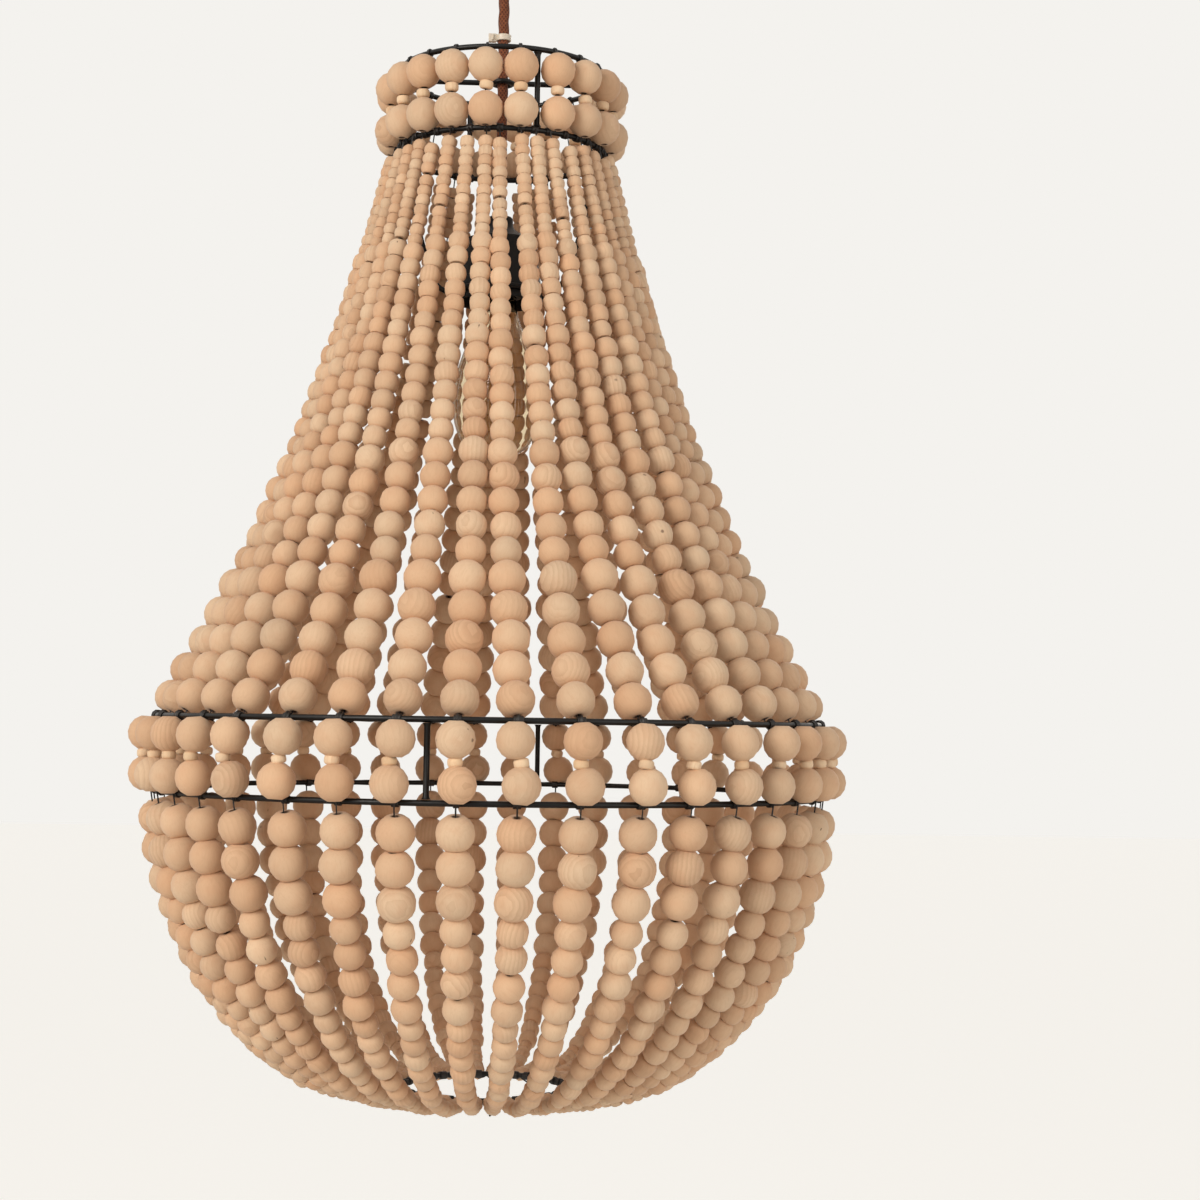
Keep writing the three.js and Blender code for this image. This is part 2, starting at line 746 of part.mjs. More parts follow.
// Inside the rose: the strap on the ceiling, its two side screws, a terminal block and the cord's inner end
const strapHalf = roseRadius - roseWall - seatGap;
const tabDepth = roseScrewDepth + strapWidth / 3;
const strapBar = new THREE.BoxGeometry(2 * strapHalf, strapWidth, strapThickness);
const tab = (side) =>
  new THREE.BoxGeometry(strapThickness, strapWidth, tabDepth).translate(
    side * (strapHalf - strapThickness / 2),
    0,
    -tabDepth / 2,
  );
const cornerTrim = rod(strapHalf, 2 * roseDepth, roseSides);
const strapRaw = solid(strapBar.translate(0, 0, -strapThickness / 2))
  .add(solid(tab(1)))
  .add(solid(tab(-1)))
  .intersect(solid(cornerTrim));
const slotAt = (side) =>
  rod(screwHoleRadius, roseDepth, smallSides).translate((side * ceilingScrewSpacing) / 2, 0, 0);
const strap = cut(geometryOf(strapRaw), slotAt(1), slotAt(-1), screwHole);
add("mounting_strap", strap, steel);

const screwCrownShare = 0.7;
const screwPoints = profile([
  [0, 0],
  [screwRadius, 0],
  [screwRadius, screwLength],
  [headRadius, screwLength],
  [headRadius, screwLength + headHeight / 2],
  [headRadius * screwCrownShare, screwLength + headHeight],
  [0, screwLength + headHeight],
]);
for (const [name, side] of [
  ["rose_screw_left", -1],
  ["rose_screw_right", 1],
]) {
  const shape = turned(screwPoints, smallSides).rotateY((side * Math.PI) / 2);
  const mesh = add(name, shape, steel, { z: -roseScrewDepth });
  mesh.position.x = side * (roseRadius + seatGap - screwLength);
}

const blockX = blockInset + blockLength / 2;
const blockZ = -strapThickness - seatGap - blockHeight / 2;
const block = new THREE.BoxGeometry(blockLength, blockWidth, blockHeight);
const blockHole = (side) =>
  rod(screwRadius, 2 * blockLength, smallSides)
    .rotateY(Math.PI / 2)
    .translate(0, (side * blockWidth) / 4, 0);
const blockMesh = add("terminal_block", cut(block, blockHole(1), blockHole(-1)), nylon, { z: blockZ });
blockMesh.position.x = blockX;

const tailTop = new THREE.Vector3(blockInset - seatGap, 0, blockZ);
const tailPath = new THREE.QuadraticBezierCurve3(
  new THREE.Vector3(0, 0, gripNeckTop + seatGap),
  new THREE.Vector3(0, 0, blockZ),
  tailTop,
);
const tailSteps = 6;
add("cord_tail", tube(tailPath, tailRadius, smallSides, tailSteps), fabric);

export default part;
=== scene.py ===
# A beaded chandelier: turned wooden beads on a black wire frame, hung on a fabric cord from its rose.
# Lengths are metres, +Z is up and the origin is on the ceiling. Angles count from the front to the right.
import math
import random
from collections import namedtuple

import bpy
from mathutils import Matrix, Vector


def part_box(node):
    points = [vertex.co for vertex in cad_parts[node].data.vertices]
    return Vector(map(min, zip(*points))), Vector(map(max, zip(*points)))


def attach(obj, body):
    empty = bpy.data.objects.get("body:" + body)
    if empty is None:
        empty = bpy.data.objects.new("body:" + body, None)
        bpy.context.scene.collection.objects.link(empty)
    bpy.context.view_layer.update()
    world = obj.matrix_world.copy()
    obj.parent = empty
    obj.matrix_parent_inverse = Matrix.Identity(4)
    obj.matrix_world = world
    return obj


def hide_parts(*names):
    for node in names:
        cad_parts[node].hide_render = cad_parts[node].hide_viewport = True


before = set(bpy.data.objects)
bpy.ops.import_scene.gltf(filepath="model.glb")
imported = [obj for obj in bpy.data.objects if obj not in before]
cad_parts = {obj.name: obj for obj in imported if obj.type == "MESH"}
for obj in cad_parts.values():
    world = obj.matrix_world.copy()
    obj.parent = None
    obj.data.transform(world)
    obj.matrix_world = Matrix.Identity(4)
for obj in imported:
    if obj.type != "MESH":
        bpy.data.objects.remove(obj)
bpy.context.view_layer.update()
MM = 0.001

# The viewpoint
# The camera stands in front of the lamp, level with its waist, and looks a little up and to the right
# of it. Columns and rows are those of a picture that is 1200 pixels square.
PICTURE_SIDE = 1200
FOCAL_LENGTH_PIXELS = 2195
HORIZON_ROW = 725.5
AXIS_COLUMN = 493
CAMERA_DISTANCE = 1613 * MM
CAMERA_BELOW_WAIST = 2.3 * MM
CAMERA_ROLL = math.radians(0.9)


def middle_height(node):
    low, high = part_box(node)
    return (low.z + high.z) / 2


def in_scene(name, data):
    """An object in the scene for a mesh, a curve, a lamp or a camera."""
    thing = bpy.data.objects.new(name, data)
    bpy.context.collection.objects.link(thing)
    return thing


WAIST_TOP = middle_height("waist_upper_ring")
camera = in_scene("viewpoint", bpy.data.cameras.new("viewpoint"))
camera.data.lens = camera.data.sensor_width * FOCAL_LENGTH_PIXELS / PICTURE_SIDE
camera_pitch = math.atan((HORIZON_ROW - PICTURE_SIDE / 2) / FOCAL_LENGTH_PIXELS)
camera_turn = math.atan((PICTURE_SIDE / 2 - AXIS_COLUMN) / FOCAL_LENGTH_PIXELS)
camera.matrix_world = (
    Matrix.Translation((0, -CAMERA_DISTANCE, WAIST_TOP - CAMERA_BELOW_WAIST))
    @ Matrix.Rotation(-camera_turn, 4, "Z")
    @ Matrix.Rotation(math.pi / 2 + camera_pitch, 4, "X")
    @ Matrix.Rotation(CAMERA_ROLL, 4, "Z")
)
bpy.context.scene.camera = camera
bpy.context.scene.view_settings.view_transform = "Standard"

# The suspension cord
# Three cores twisted together under a rust-coloured cotton braid. The lamp's weight holds the cord taut
# from the grip in the rose, through the top bar's eyelet, into the neck of the bell cup.
CORD_RADIUS = 4.2 * MM
CORD_LOBE = 0.3 * MM
CORD_TWIST = 46 * MM
CORD_CORES = 3
CORD_SIDES = 36
CORD_STEP = 2.5 * MM
BRAID_THREADS = 9
BRAID_PITCH = 3.4 * MM
BRAID_DEPTH = 0.25 * MM


def from_points(name, points, faces):
    """A piece from its points and faces, shaded smooth."""
    mesh = bpy.data.meshes.new(name)
    mesh.from_pydata(points, [], faces)
    mesh.shade_smooth()
    return in_scene(name, mesh)


def skinned(name, rings):
    """A closed tube through rings of points that run anticlockwise about its way, capped at both ends."""
    sides = len(rings[0])
    points = [point for ring in rings for point in ring]
    faces = [tuple(reversed(range(sides)))]
    for k in range(len(rings) - 1):
        for i in range(sides):
            a, b = k * sides + i, k * sides + (i + 1) % sides
            faces.append((a, b, b + sides, a + sides))
    faces.append(tuple(range(len(points) - sides, len(points))))
    return from_points(name, points, faces)


def linear(code):
    """A colour written as sRGB hex, as the shaders read it."""
    shares = [int(code[i:i + 2], 16) / 255 for i in (1, 3, 5)]
    return (*[s / 12.92 if s <= 0.04045 else ((s + 0.055) / 1.055) ** 2.4 for s in shares], 1.0)


def fill_in(node, inputs):
    """Gives a node its inputs. Each is a value or another node's output."""
    for key, value in inputs.items():
        if isinstance(value, bpy.types.NodeSocket):
            node.id_data.links.new(value, node.inputs[key])
        else:
            node.inputs[key].default_value = value
    return node


def add_node(material, kind, inputs=None, **settings):
    """Adds a shader node with its settings and its inputs, and gives its outputs."""
    node = material.node_tree.nodes.new("ShaderNode" + kind)
    for name, value in settings.items():
        setattr(node, name, value)
    return fill_in(node, inputs or {}).outputs


def new_material(name):
    """A node material with only its shader."""
    material = bpy.data.materials.new(name)
    material.use_nodes = True
    return material


def shaded(material, inputs):
    """Fills in the material's own shader."""
    fill_in(material.node_tree.nodes["Principled BSDF"], inputs)
    return material


# A two-colour mix has its factor at input 0 and its colours at inputs 6 and 7, and gives output 2.
MIX_A, MIX_B, MIX_RESULT = 6, 7, 2


def cotton_braid():
    # Cotton braid: matt, with crossing threads that catch the light. Its threads of about 0.5 mm are
    # drawn as ribs 3.4 mm apart along the cord, as coarse as they need to be to show. The ribs are painted
    # lighter and the grooves between them darker: painted highlight and painted shade.
    material = new_material("cotton_braid")
    place = add_node(material, "TexCoord")["Object"]
    axes = add_node(material, "SeparateXYZ", {0: place})
    angle = add_node(material, "Math", {0: axes["Y"], 1: axes["X"]}, operation="ARCTAN2")[0]
    around = add_node(material, "Math", {0: angle, 1: BRAID_THREADS}, operation="MULTIPLY")[0]
    climb = add_node(material, "Math", {0: axes["Z"], 1: math.tau / BRAID_PITCH}, operation="MULTIPLY")[0]
    waves = []
    for operation in ("ADD", "SUBTRACT"):
        phase = add_node(material, "Math", {0: around, 1: climb}, operation=operation)[0]
        waves.append(add_node(material, "Math", {0: phase}, operation="SINE")[0])
    weave = add_node(material, "Math", {0: waves[0], 1: waves[1]}, operation="MAXIMUM")[0]
    shown = add_node(material, "MapRange", {"Value": weave, "From Min": -0.6})[0]
    fluff = add_node(material, "TexNoise", {"Vector": place, "Scale": 1 / (1.5 * MM), "Detail": 3})["Fac"]
    # Painted highlight on the ribs and painted shade in the grooves between them, broken up by the fluff.
    level = add_node(material, "Math", {0: shown, 1: fluff}, operation="MULTIPLY")[0]
    colours = {0: level, MIX_A: linear("#4a1f10"), MIX_B: linear("#a8643c")}
    colour = add_node(material, "Mix", colours, data_type="RGBA")[MIX_RESULT]
    bump = add_node(material, "Bump", {"Height": shown, "Distance": BRAID_DEPTH, "Strength": 0.9})[0]
    return shaded(material, {
        "Base Color": colour, "Normal": bump, "Roughness": 0.92,
        "Sheen Weight": 0.25, "Sheen Roughness": 0.5,
    })


def finish_with(piece, material):
    """Leaves a piece with one material."""
    piece.data.materials.clear()
    piece.data.materials.append(material)


def dress(piece, material, body, slot, *nodes):
    """Gives a piece its material and its body, and hides the nodes that it stands for. The slot is not
    used.
    """
    finish_with(piece, material)
    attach(piece, body)
    if nodes:
        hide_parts(*nodes)


cord_low, cord_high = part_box("suspension_cord")
cord_steps = round((cord_high.z - cord_low.z) / CORD_STEP)
cord_line = [
    Vector((0, 0, cord_low.z + (cord_high.z - cord_low.z) * k / cord_steps)) for k in range(cord_steps + 1)
]
cord_rings = []
for centre in cord_line:
    ring = []
    for i in range(CORD_SIDES):
        angle = math.tau * i / CORD_SIDES
        lobe = math.cos(CORD_CORES * (angle - math.tau * centre.z / CORD_TWIST))
        radius = CORD_RADIUS - CORD_LOBE + CORD_LOBE * lobe
        ring.append(centre + radius * Vector((math.cos(angle), math.sin(angle), 0)))
    cord_rings.append(ring)
cord = skinned("suspension_flex", cord_rings)
braid = cotton_braid()
dress(cord, braid, "pendant", "rust_fabric", "suspension_cord")

# The cable tie
# A clear nylon strap pulled tight round the cord just above the crown, with its ratchet head to the
# left and the end of the strap snipped off beside it.
TIE_WALL = 1.3 * MM
TIE_WIDTH = 4.5 * MM
TIE_CLEARANCE = 0.3 * MM
TIE_HEAD_LENGTH = 6 * MM
TIE_HEAD_DEPTH = 4.8 * MM
TIE_HEAD_EDGE = 0.5 * MM
TIE_STUB_LENGTH = 2 * MM
TIE_STUB_EDGE = 0.2 * MM
TIE_STEPS = 48
MERGE_DISTANCE = 0.005 * MM
SHARP_ANGLE = 40


def primitive(name, operator, **settings):
    """Adds a primitive with nothing else selected."""
    bpy.ops.object.select_all(action="DESELECT")
    operator(**settings)
    piece = bpy.context.object
    piece.name = name
    return piece


def turned(name, steps, outline, sharp_angle=SHARP_ANGLE):
    """Turns an outline of radius and height about the lamp's axis, as on a lathe."""
    piece = primitive(name, bpy.ops.mesh.primitive_plane_add, size=MM)
    bpy.ops.object.mode_set(mode="EDIT")
    bpy.ops.mesh.merge(type="CENTER")
    bpy.ops.transform.translate(value=(outline[0][0], 0, outline[0][1]))
    for (radius, height), (next_radius, next_height) in zip(outline, outline[1:]):
        step = (next_radius - radius, 0, next_height - height)
        bpy.ops.mesh.extrude_vertices_move(TRANSFORM_OT_translate={"value": step})
    bpy.ops.mesh.select_all(action="SELECT")
    bpy.ops.mesh.spin(steps=steps, angle=math.tau, center=(0, 0, 0), axis=(0, 0, 1))
    bpy.ops.mesh.select_all(action="SELECT")
    bpy.ops.mesh.remove_doubles(threshold=MERGE_DISTANCE)
    bpy.ops.mesh.normals_make_consistent(inside=False)
    bpy.ops.object.mode_set(mode="OBJECT")
    bpy.ops.object.shade_smooth_by_angle(angle=math.radians(sharp_angle))
    return piece


def rounded_box(name, size, place, round_over, segments=3):
    """A block with rounded edges."""
    piece = primitive(name, bpy.ops.mesh.primitive_cube_add, size=1)
    piece.data.transform(Matrix.Translation(place) @ Matrix.Diagonal((*size, 1)))
    bpy.ops.object.mode_set(mode="EDIT")
    bpy.ops.mesh.select_all(action="SELECT")
    bpy.ops.mesh.bevel(offset=round_over, segments=segments, affect="EDGES")
    bpy.ops.object.mode_set(mode="OBJECT")
    bpy.ops.object.shade_smooth_by_angle(angle=math.radians(SHARP_ANGLE))
    return piece


def pick(*pieces):
    """Selects these pieces and nothing else, with the first of them active."""
    bpy.ops.object.select_all(action="DESELECT")
    for piece in pieces:
        piece.select_set(True)
    bpy.context.view_layer.objects.active = pieces[0]


def joined(name, *pieces):
    """Several meshes as one piece."""
    pick(*pieces)
    bpy.ops.object.join()
    pieces[0].name = name
    return pieces[0]


def mottled(name, patch, detail, dark, light):
    """A material whose colour drifts between two in soft patches of a size, and its drift."""
    material = new_material(name)
    place = add_node(material, "TexCoord")["Object"]
    drift = add_node(material, "TexNoise", {"Vector": place, "Scale": 1 / patch, "Detail": detail})["Fac"]
    colours = {0: drift, MIX_A: linear(dark), MIX_B: linear(light)}
    colour = add_node(material, "Mix", colours, data_type="RGBA")[MIX_RESULT]
    return shaded(material, {"Base Color": colour}), drift


def moulded_nylon():
    # Natural nylon 6/6: milky and slightly see-through, smooth from the mould with a soft gloss.
    material, _ = mottled("moulded_nylon", 6 * MM, 2, "#d3c7b4", "#e6ddce")
    return shaded(material, {
        "Roughness": 0.38, "Subsurface Weight": 0.15, "Subsurface Radius": (2 * MM, 1.6 * MM, 1.2 * MM)
    })


tie_height = middle_height("cable_tie")
tie_low, tie_high = tie_height - TIE_WIDTH / 2, tie_height + TIE_WIDTH / 2
tie_inside = CORD_RADIUS + TIE_CLEARANCE
tie_outside = tie_inside + TIE_WALL
tie_lip = TIE_WALL / 4
tie_band = turned("tie_band", TIE_STEPS, [
    (tie_inside, tie_low),
    (tie_outside - tie_lip, tie_low),
    (tie_outside, tie_low + tie_lip),
    (tie_outside, tie_high - tie_lip),
    (tie_outside - tie_lip, tie_high),
    (tie_inside, tie_high),
    (tie_inside, tie_low),
])
tie_head_middle = -(tie_inside + TIE_WALL / 2 + TIE_HEAD_LENGTH / 2)
tie_head = rounded_box(
    "tie_head",
    (TIE_HEAD_LENGTH, TIE_HEAD_DEPTH, TIE_HEAD_LENGTH),
    (tie_head_middle, 0, tie_height),
    TIE_HEAD_EDGE,
)
tie_stub = rounded_box(
    "tie_stub",
    (TIE_WALL, TIE_HEAD_DEPTH + 2 * TIE_STUB_LENGTH, TIE_WIDTH),
    (tie_head_middle, 0, tie_height),
    TIE_STUB_EDGE,
)
tie = joined("nylon_tie", tie_band, tie_head, tie_stub)
nylon = moulded_nylon()
dress(tie, nylon, "pendant", "white_nylon", "cable_tie")

# The ceiling rose
# A steel cup pressed from sheet and lacquered black, with a rolled bevel round its face. Two side
# screws hold it to the strap on the ceiling.
ROSE_RADIUS = 50 * MM
ROSE_DEPTH = 25 * MM
ROSE_WALL = 1.2 * MM
ROSE_BEVEL = 6 * MM
ROSE_HOLE = 6.8 * MM
ROSE_STEPS = 96


def lacquered_steel():
    # Black lacquer on pressed steel: low gloss, very slightly orange-peeled from the spray gun.
    material, dust = mottled("lacquered_steel", 14 * MM, 4, "#070707", "#121110")
    place = add_node(material, "TexCoord")["Object"]
    peel = add_node(material, "TexNoise", {"Vector": place, "Scale": 1 / (1.2 * MM), "Detail": 2})["Fac"]
    rough = add_node(material, "MapRange", {"Value": dust, "To Min": 0.38, "To Max": 0.52})[0]
    bump = add_node(material, "Bump", {"Height": peel, "Distance": 0.02 * MM, "Strength": 0.5})[0]
    return shaded(material, {"Roughness": rough, "Normal": bump, "Specular IOR Level": 0.35})


def arc(centre_radius, centre_height, size, start, end, steps=6):
    """Points on a round corner of an outline, from one angle to another in degrees."""
    angles = [math.radians(start + (end - start) * k / steps) for k in range(steps + 1)]
    return [(centre_radius + size * math.cos(a), centre_height + size * math.sin(a)) for a in angles]


rose = turned("rose_cup", ROSE_STEPS, [
    (ROSE_HOLE, -ROSE_DEPTH),
    *arc(ROSE_RADIUS - ROSE_BEVEL, -ROSE_DEPTH + ROSE_BEVEL, ROSE_BEVEL, -90, 0),
    (ROSE_RADIUS, 0),
    (ROSE_RADIUS - ROSE_WALL, 0),
    *arc(ROSE_RADIUS - ROSE_BEVEL, -ROSE_DEPTH + ROSE_BEVEL, ROSE_BEVEL - ROSE_WALL, 0, -90),
    (ROSE_HOLE, -ROSE_DEPTH + ROSE_WALL),
    (ROSE_HOLE, -ROSE_DEPTH),
])
lacquer = lacquered_steel()
dress(rose, lacquer, "ceiling_fitting", "black_shell", "ceiling_rose")

# The rose's side screws
# Zinc-plated pan-head screws with a cross recess, one on each side of the rose.
SCREW_SHANK = 2 * MM
SCREW_TIP_EDGE = 0.5 * MM
SCREW_LENGTH = 8 * MM
SCREW_HEAD_RADIUS = 3.8 * MM
SCREW_HEAD_HEIGHT = 1.8 * MM
SCREW_HEAD_EDGE = 1 * MM
SCREW_CLEARANCE = 0.3 * MM
SCREW_SHARP_ANGLE = 35
RECESS_WIDTH = 0.7 * MM
RECESS_LENGTH = 3.6 * MM
RECESS_DEPTH = 1 * MM
RECESS_EDGE = 0.1 * MM
SCREW_STEPS = 32


def zinc_plate():
    # Zinc-plated steel: a bluish silver, faintly streaked by the plating.
    material, streak = mottled("zinc_plate", 3 * MM, 5, "#8f949a", "#c3c8cd")
    rough = add_node(material, "MapRange", {"Value": streak, "To Min": 0.25, "To Max": 0.5})[0]
    return shaded(material, {"Roughness": rough, "Metallic": 1})


def cut_out(piece, cutter):
    """Cuts one mesh out of another with a boolean, and removes the cutter."""
    pick(piece)
    modifier = piece.modifiers.new("cut", "BOOLEAN")
    modifier.operation = "DIFFERENCE"
    modifier.object = cutter
    modifier.solver = "EXACT"
    bpy.ops.object.modifier_apply(modifier=modifier.name)
    bpy.data.objects.remove(cutter)


zinc = zinc_plate()
for node, side in (("rose_screw_left", -1), ("rose_screw_right", 1)):
    height = middle_height(node)
    top = SCREW_LENGTH + SCREW_HEAD_HEIGHT
    screw = turned(node.replace("rose", "side"), SCREW_STEPS, [
        (0, 0),
        (SCREW_SHANK - SCREW_TIP_EDGE, 0),
        (SCREW_SHANK, SCREW_TIP_EDGE),
        (SCREW_SHANK, SCREW_LENGTH),
        (SCREW_HEAD_RADIUS, SCREW_LENGTH),
        *arc(SCREW_HEAD_RADIUS - SCREW_HEAD_EDGE, top - SCREW_HEAD_EDGE, SCREW_HEAD_EDGE, 0, 90, 4),
        (0, top),
    ])
    for length, width in ((RECESS_LENGTH, RECESS_WIDTH), (RECESS_WIDTH, RECESS_LENGTH)):
        size = (length, width, 2 * RECESS_DEPTH)
        cut_out(screw, rounded_box("recess", size, (0, 0, top), RECESS_EDGE, 1))
    screw_end = side * (ROSE_RADIUS + SCREW_CLEARANCE - SCREW_LENGTH)
    screw.data.transform(
        Matrix.Translation((screw_end, 0, height)) @ Matrix.Rotation(side * math.pi / 2, 4, "Y")
    )
    bpy.ops.object.shade_smooth_by_angle(angle=math.radians(SCREW_SHARP_ANGLE))
    dress(screw, zinc, "ceiling_fitting", "zinc_steel", node)

# Inside the rose
# The strap is punched from zinc-plated strip and screwed to the ceiling. The block that joins the
# wires is nylon, and the cord's inner end keeps its braid. They stay as they were made.
for node, material in (("mounting_strap", zinc), ("terminal_block", nylon), ("cord_tail", braid)):
    finish_with(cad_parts[node], material)

# The cord grip and its nut
# Black nylon, moulded. The grip's neck passes through the rose and the nut holds it from inside. Its
# mouth flares, so that the cord can lean without kinking.
GRIP_RADIUS = 9 * MM
GRIP_NECK_RADIUS = 6.5 * MM
GRIP_TOP = -25.3 * MM
GRIP_MOUTH = -38.3 * MM
GRIP_NECK_TOP = -20.5 * MM
GRIP_SEAT = -34 * MM
GRIP_SEAT_RADIUS = 4.6 * MM
GRIP_MOUTH_RADIUS = 6.1 * MM
GRIP_RIB_DEPTH = 0.5 * MM
GRIP_RIBS = 24
GRIP_STEPS = 96


def moulded_black_nylon():
    # Black nylon from the mould: a fine spark-eroded texture that dulls its gloss. It is drawn 0.6 mm
    # wide, coarse enough to show from close by.
    material, spark = mottled("moulded_black_nylon", 0.6 * MM, 2, "#090909", "#151414")
    bump = add_node(material, "Bump", {"Height": spark, "Distance": 0.04 * MM, "Strength": 0.5})[0]
    return shaded(material, {"Normal": bump, "Roughness": 0.55})


grip = turned("grip_body", GRIP_STEPS, [
    *arc(0, GRIP_SEAT, GRIP_SEAT_RADIUS, 90, 0),
    (GRIP_MOUTH_RADIUS, GRIP_MOUTH),
    (GRIP_RADIUS - ROSE_WALL, GRIP_MOUTH),
    *arc(GRIP_RADIUS - ROSE_WALL, GRIP_MOUTH + ROSE_WALL, ROSE_WALL, -60, 0, 3),
    (GRIP_RADIUS, GRIP_TOP - ROSE_WALL),
    (GRIP_RADIUS, GRIP_TOP),
    (GRIP_NECK_RADIUS, GRIP_TOP),
    (GRIP_NECK_RADIUS, GRIP_NECK_TOP),
    (0, GRIP_NECK_TOP),
])
for vertex in grip.data.vertices:
    flat = vertex.co.xy.length
    if flat > GRIP_RADIUS - ROSE_WALL / 2 and vertex.co.z < GRIP_TOP - ROSE_WALL / 2:
        angle = math.atan2(vertex.co.y, vertex.co.x)
        share = 1 - GRIP_RIB_DEPTH / GRIP_RADIUS * max(0, math.cos(GRIP_RIBS * angle))
        vertex.co.xy *= share
black_nylon = moulded_black_nylon()
dress(grip, black_nylon, "cord_gland", "black_nylon", "cord_grip")
finish_with(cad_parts["grip_nut"], black_nylon)

# The bell cup of the lampholder
# Steel spun to a bell and lacquered black. A narrow neck takes the cord, the brow rounds over to a
# steep flare, and the rim is rolled.
CUP_TOP = -217 * MM
CUP_HEIGHT = 64.5 * MM
CUP_NECK_RADIUS = 9.5 * MM
CUP_SHOULDER_RADIUS = 26.5 * MM
CUP_MOUTH_RADIUS = 32.7 * MM
CUP_WALL = 1.2 * MM
CUP_CORD_HOLE = 4.6 * MM
CUP_FLARE_SHARE = 0.3
CUP_BROW_WALLS = 1.3
CUP_HEIGHT_SHARES = [0.25, 0.685, 0.725, 0.785, 0.87]
CUP_STEPS = 96


def flowing(points, steps=4):
    """More points on a smooth line through those given."""
    line = []
    ends = [points[0], *points, points[-1]]
    for before, start, end, after in zip(ends, ends[1:], ends[2:], ends[3:]):
        for k in range(steps):
            t = k / steps
            line.append(tuple(
                ((2 * b) + (c - a) * t + (2 * a - 5 * b + 4 * c - d) * t * t
                 + (3 * b - a - 3 * c + d) * t ** 3) / 2
                for a, b, c, d in zip(before, start, end, after)
            ))
    return [*line, points[-1]]


cup_mouth = CUP_TOP - CUP_HEIGHT
cup_flare_radius = CUP_MOUTH_RADIUS - CUP_FLARE_SHARE * (CUP_MOUTH_RADIUS - CUP_SHOULDER_RADIUS)
cup_flare_height, cup_shoulder_height, *cup_brow_heights = [
    cup_mouth + share * CUP_HEIGHT for share in CUP_HEIGHT_SHARES
]
cup_seat_height = cup_shoulder_height - 2 * CUP_WALL
cup_brow_radii = (
    CUP_SHOULDER_RADIUS - CUP_BROW_WALLS * CUP_WALL,
    (CUP_NECK_RADIUS + CUP_SHOULDER_RADIUS) / 2,
    CUP_NECK_RADIUS + CUP_WALL,
)
cup_outside = flowing([
    (CUP_MOUTH_RADIUS, cup_mouth + CUP_WALL / 2),
    (cup_flare_radius, cup_flare_height),
    (CUP_SHOULDER_RADIUS, cup_shoulder_height),
    *zip(cup_brow_radii, cup_brow_heights),
    (CUP_NECK_RADIUS, CUP_TOP - CUP_WALL),
])
cup = turned("bell_cup", CUP_STEPS, [
    *cup_outside,
    (CUP_NECK_RADIUS - CUP_WALL, CUP_TOP),
    (CUP_CORD_HOLE, CUP_TOP),
    (CUP_CORD_HOLE, cup_seat_height),
    (CUP_SHOULDER_RADIUS - CUP_WALL, cup_seat_height),
    (cup_flare_radius - CUP_WALL, cup_flare_height),
    (CUP_MOUTH_RADIUS - CUP_WALL, cup_mouth + CUP_WALL / 2),
    *arc(CUP_MOUTH_RADIUS - CUP_WALL / 2, cup_mouth + CUP_WALL / 2, CUP_WALL / 2, -180, 0),
])
dress(cup, lacquer, "pendant", "black_shell", "lampholder_cup")

# The socket core
# A black moulding with a plain round skirt. The bulb's cap goes up into its bore.
CORE_RADIUS = 17.5 * MM
CORE_TOP = -240 * MM
CORE_MOUTH = -277 * MM
BORE_RADIUS = 13.4 * MM
BORE_TOP = -243.6 * MM
CORE_STEPS = 64
core = turned("socket_core", CORE_STEPS, [
    (0, BORE_TOP),
    (BORE_RADIUS, BORE_TOP),
    (BORE_RADIUS, CORE_MOUTH),
    *arc(CORE_RADIUS - CUP_WALL, CORE_MOUTH + CUP_WALL, CUP_WALL, -90, 0, 4),
    *arc(CORE_RADIUS - CUP_WALL, CORE_TOP - CUP_WALL, CUP_WALL, 0, 90, 4),
    (0, CORE_TOP),
])
dress(core, black_nylon, "pendant", "black_nylon", "lampholder_core")

# The bulb's cap
# Brass, rolled thin into a round thread, with a solder contact on top.
CAP_RADIUS = 13 * MM
CAP_TOP = -246.6 * MM
CAP_MOUTH = -271.6 * MM
CAP_WALL = 0.5 * MM
CAP_THREAD_DEPTH = 0.7 * MM
CAP_THREADS = 5
CAP_THREAD_POINTS = 6
CAP_SHOULDER_RADIUS = 10.4 * MM
CAP_CONTACT_RADIUS = 4.5 * MM
CAP_CONTACT_HEIGHT = 2.6 * MM
CAP_STEPS = 64
NECK_DEPTH = 9 * MM


def rolled_brass():
    # Brass: rolled bright, a little tarnished in the thread's hollows.
    material, tarnish = mottled("rolled_brass", 4 * MM, 4, "#8f6a33", "#cfa865")
    rough = add_node(material, "MapRange", {"Value": tarnish, "To Min": 0.45, "To Max": 0.2})[0]
    return shaded(material, {"Roughness": rough, "Metallic": 1})


thread_height = CAP_TOP - CAP_CONTACT_HEIGHT - CAP_MOUTH
cap_side = []
for k in range(CAP_THREADS * CAP_THREAD_POINTS + 1):
    turn = k / CAP_THREAD_POINTS
    depth = CAP_THREAD_DEPTH * (1 - math.cos(math.tau * turn)) / 2
    cap_side.append((CAP_RADIUS - depth, CAP_MOUTH + thread_height * turn / CAP_THREADS))
cap = turned("screw_cap", CAP_STEPS, [
    (0, CAP_MOUTH + NECK_DEPTH),
    (CAP_RADIUS - CAP_WALL, CAP_MOUTH + NECK_DEPTH),
    (CAP_RADIUS - CAP_WALL, CAP_MOUTH),
    *cap_side,
    (CAP_SHOULDER_RADIUS, CAP_TOP - CAP_CONTACT_HEIGHT / 2),
    (CAP_CONTACT_RADIUS, CAP_TOP),
    (CAP_CONTACT_RADIUS, CAP_TOP + CAP_CONTACT_HEIGHT / 2),
    *arc(CAP_CONTACT_RADIUS / 2, CAP_TOP + CAP_CONTACT_HEIGHT / 2, CAP_CONTACT_HEIGHT / 2, 30, 90, 3),
    (0, CAP_TOP + CAP_CONTACT_HEIGHT),
])
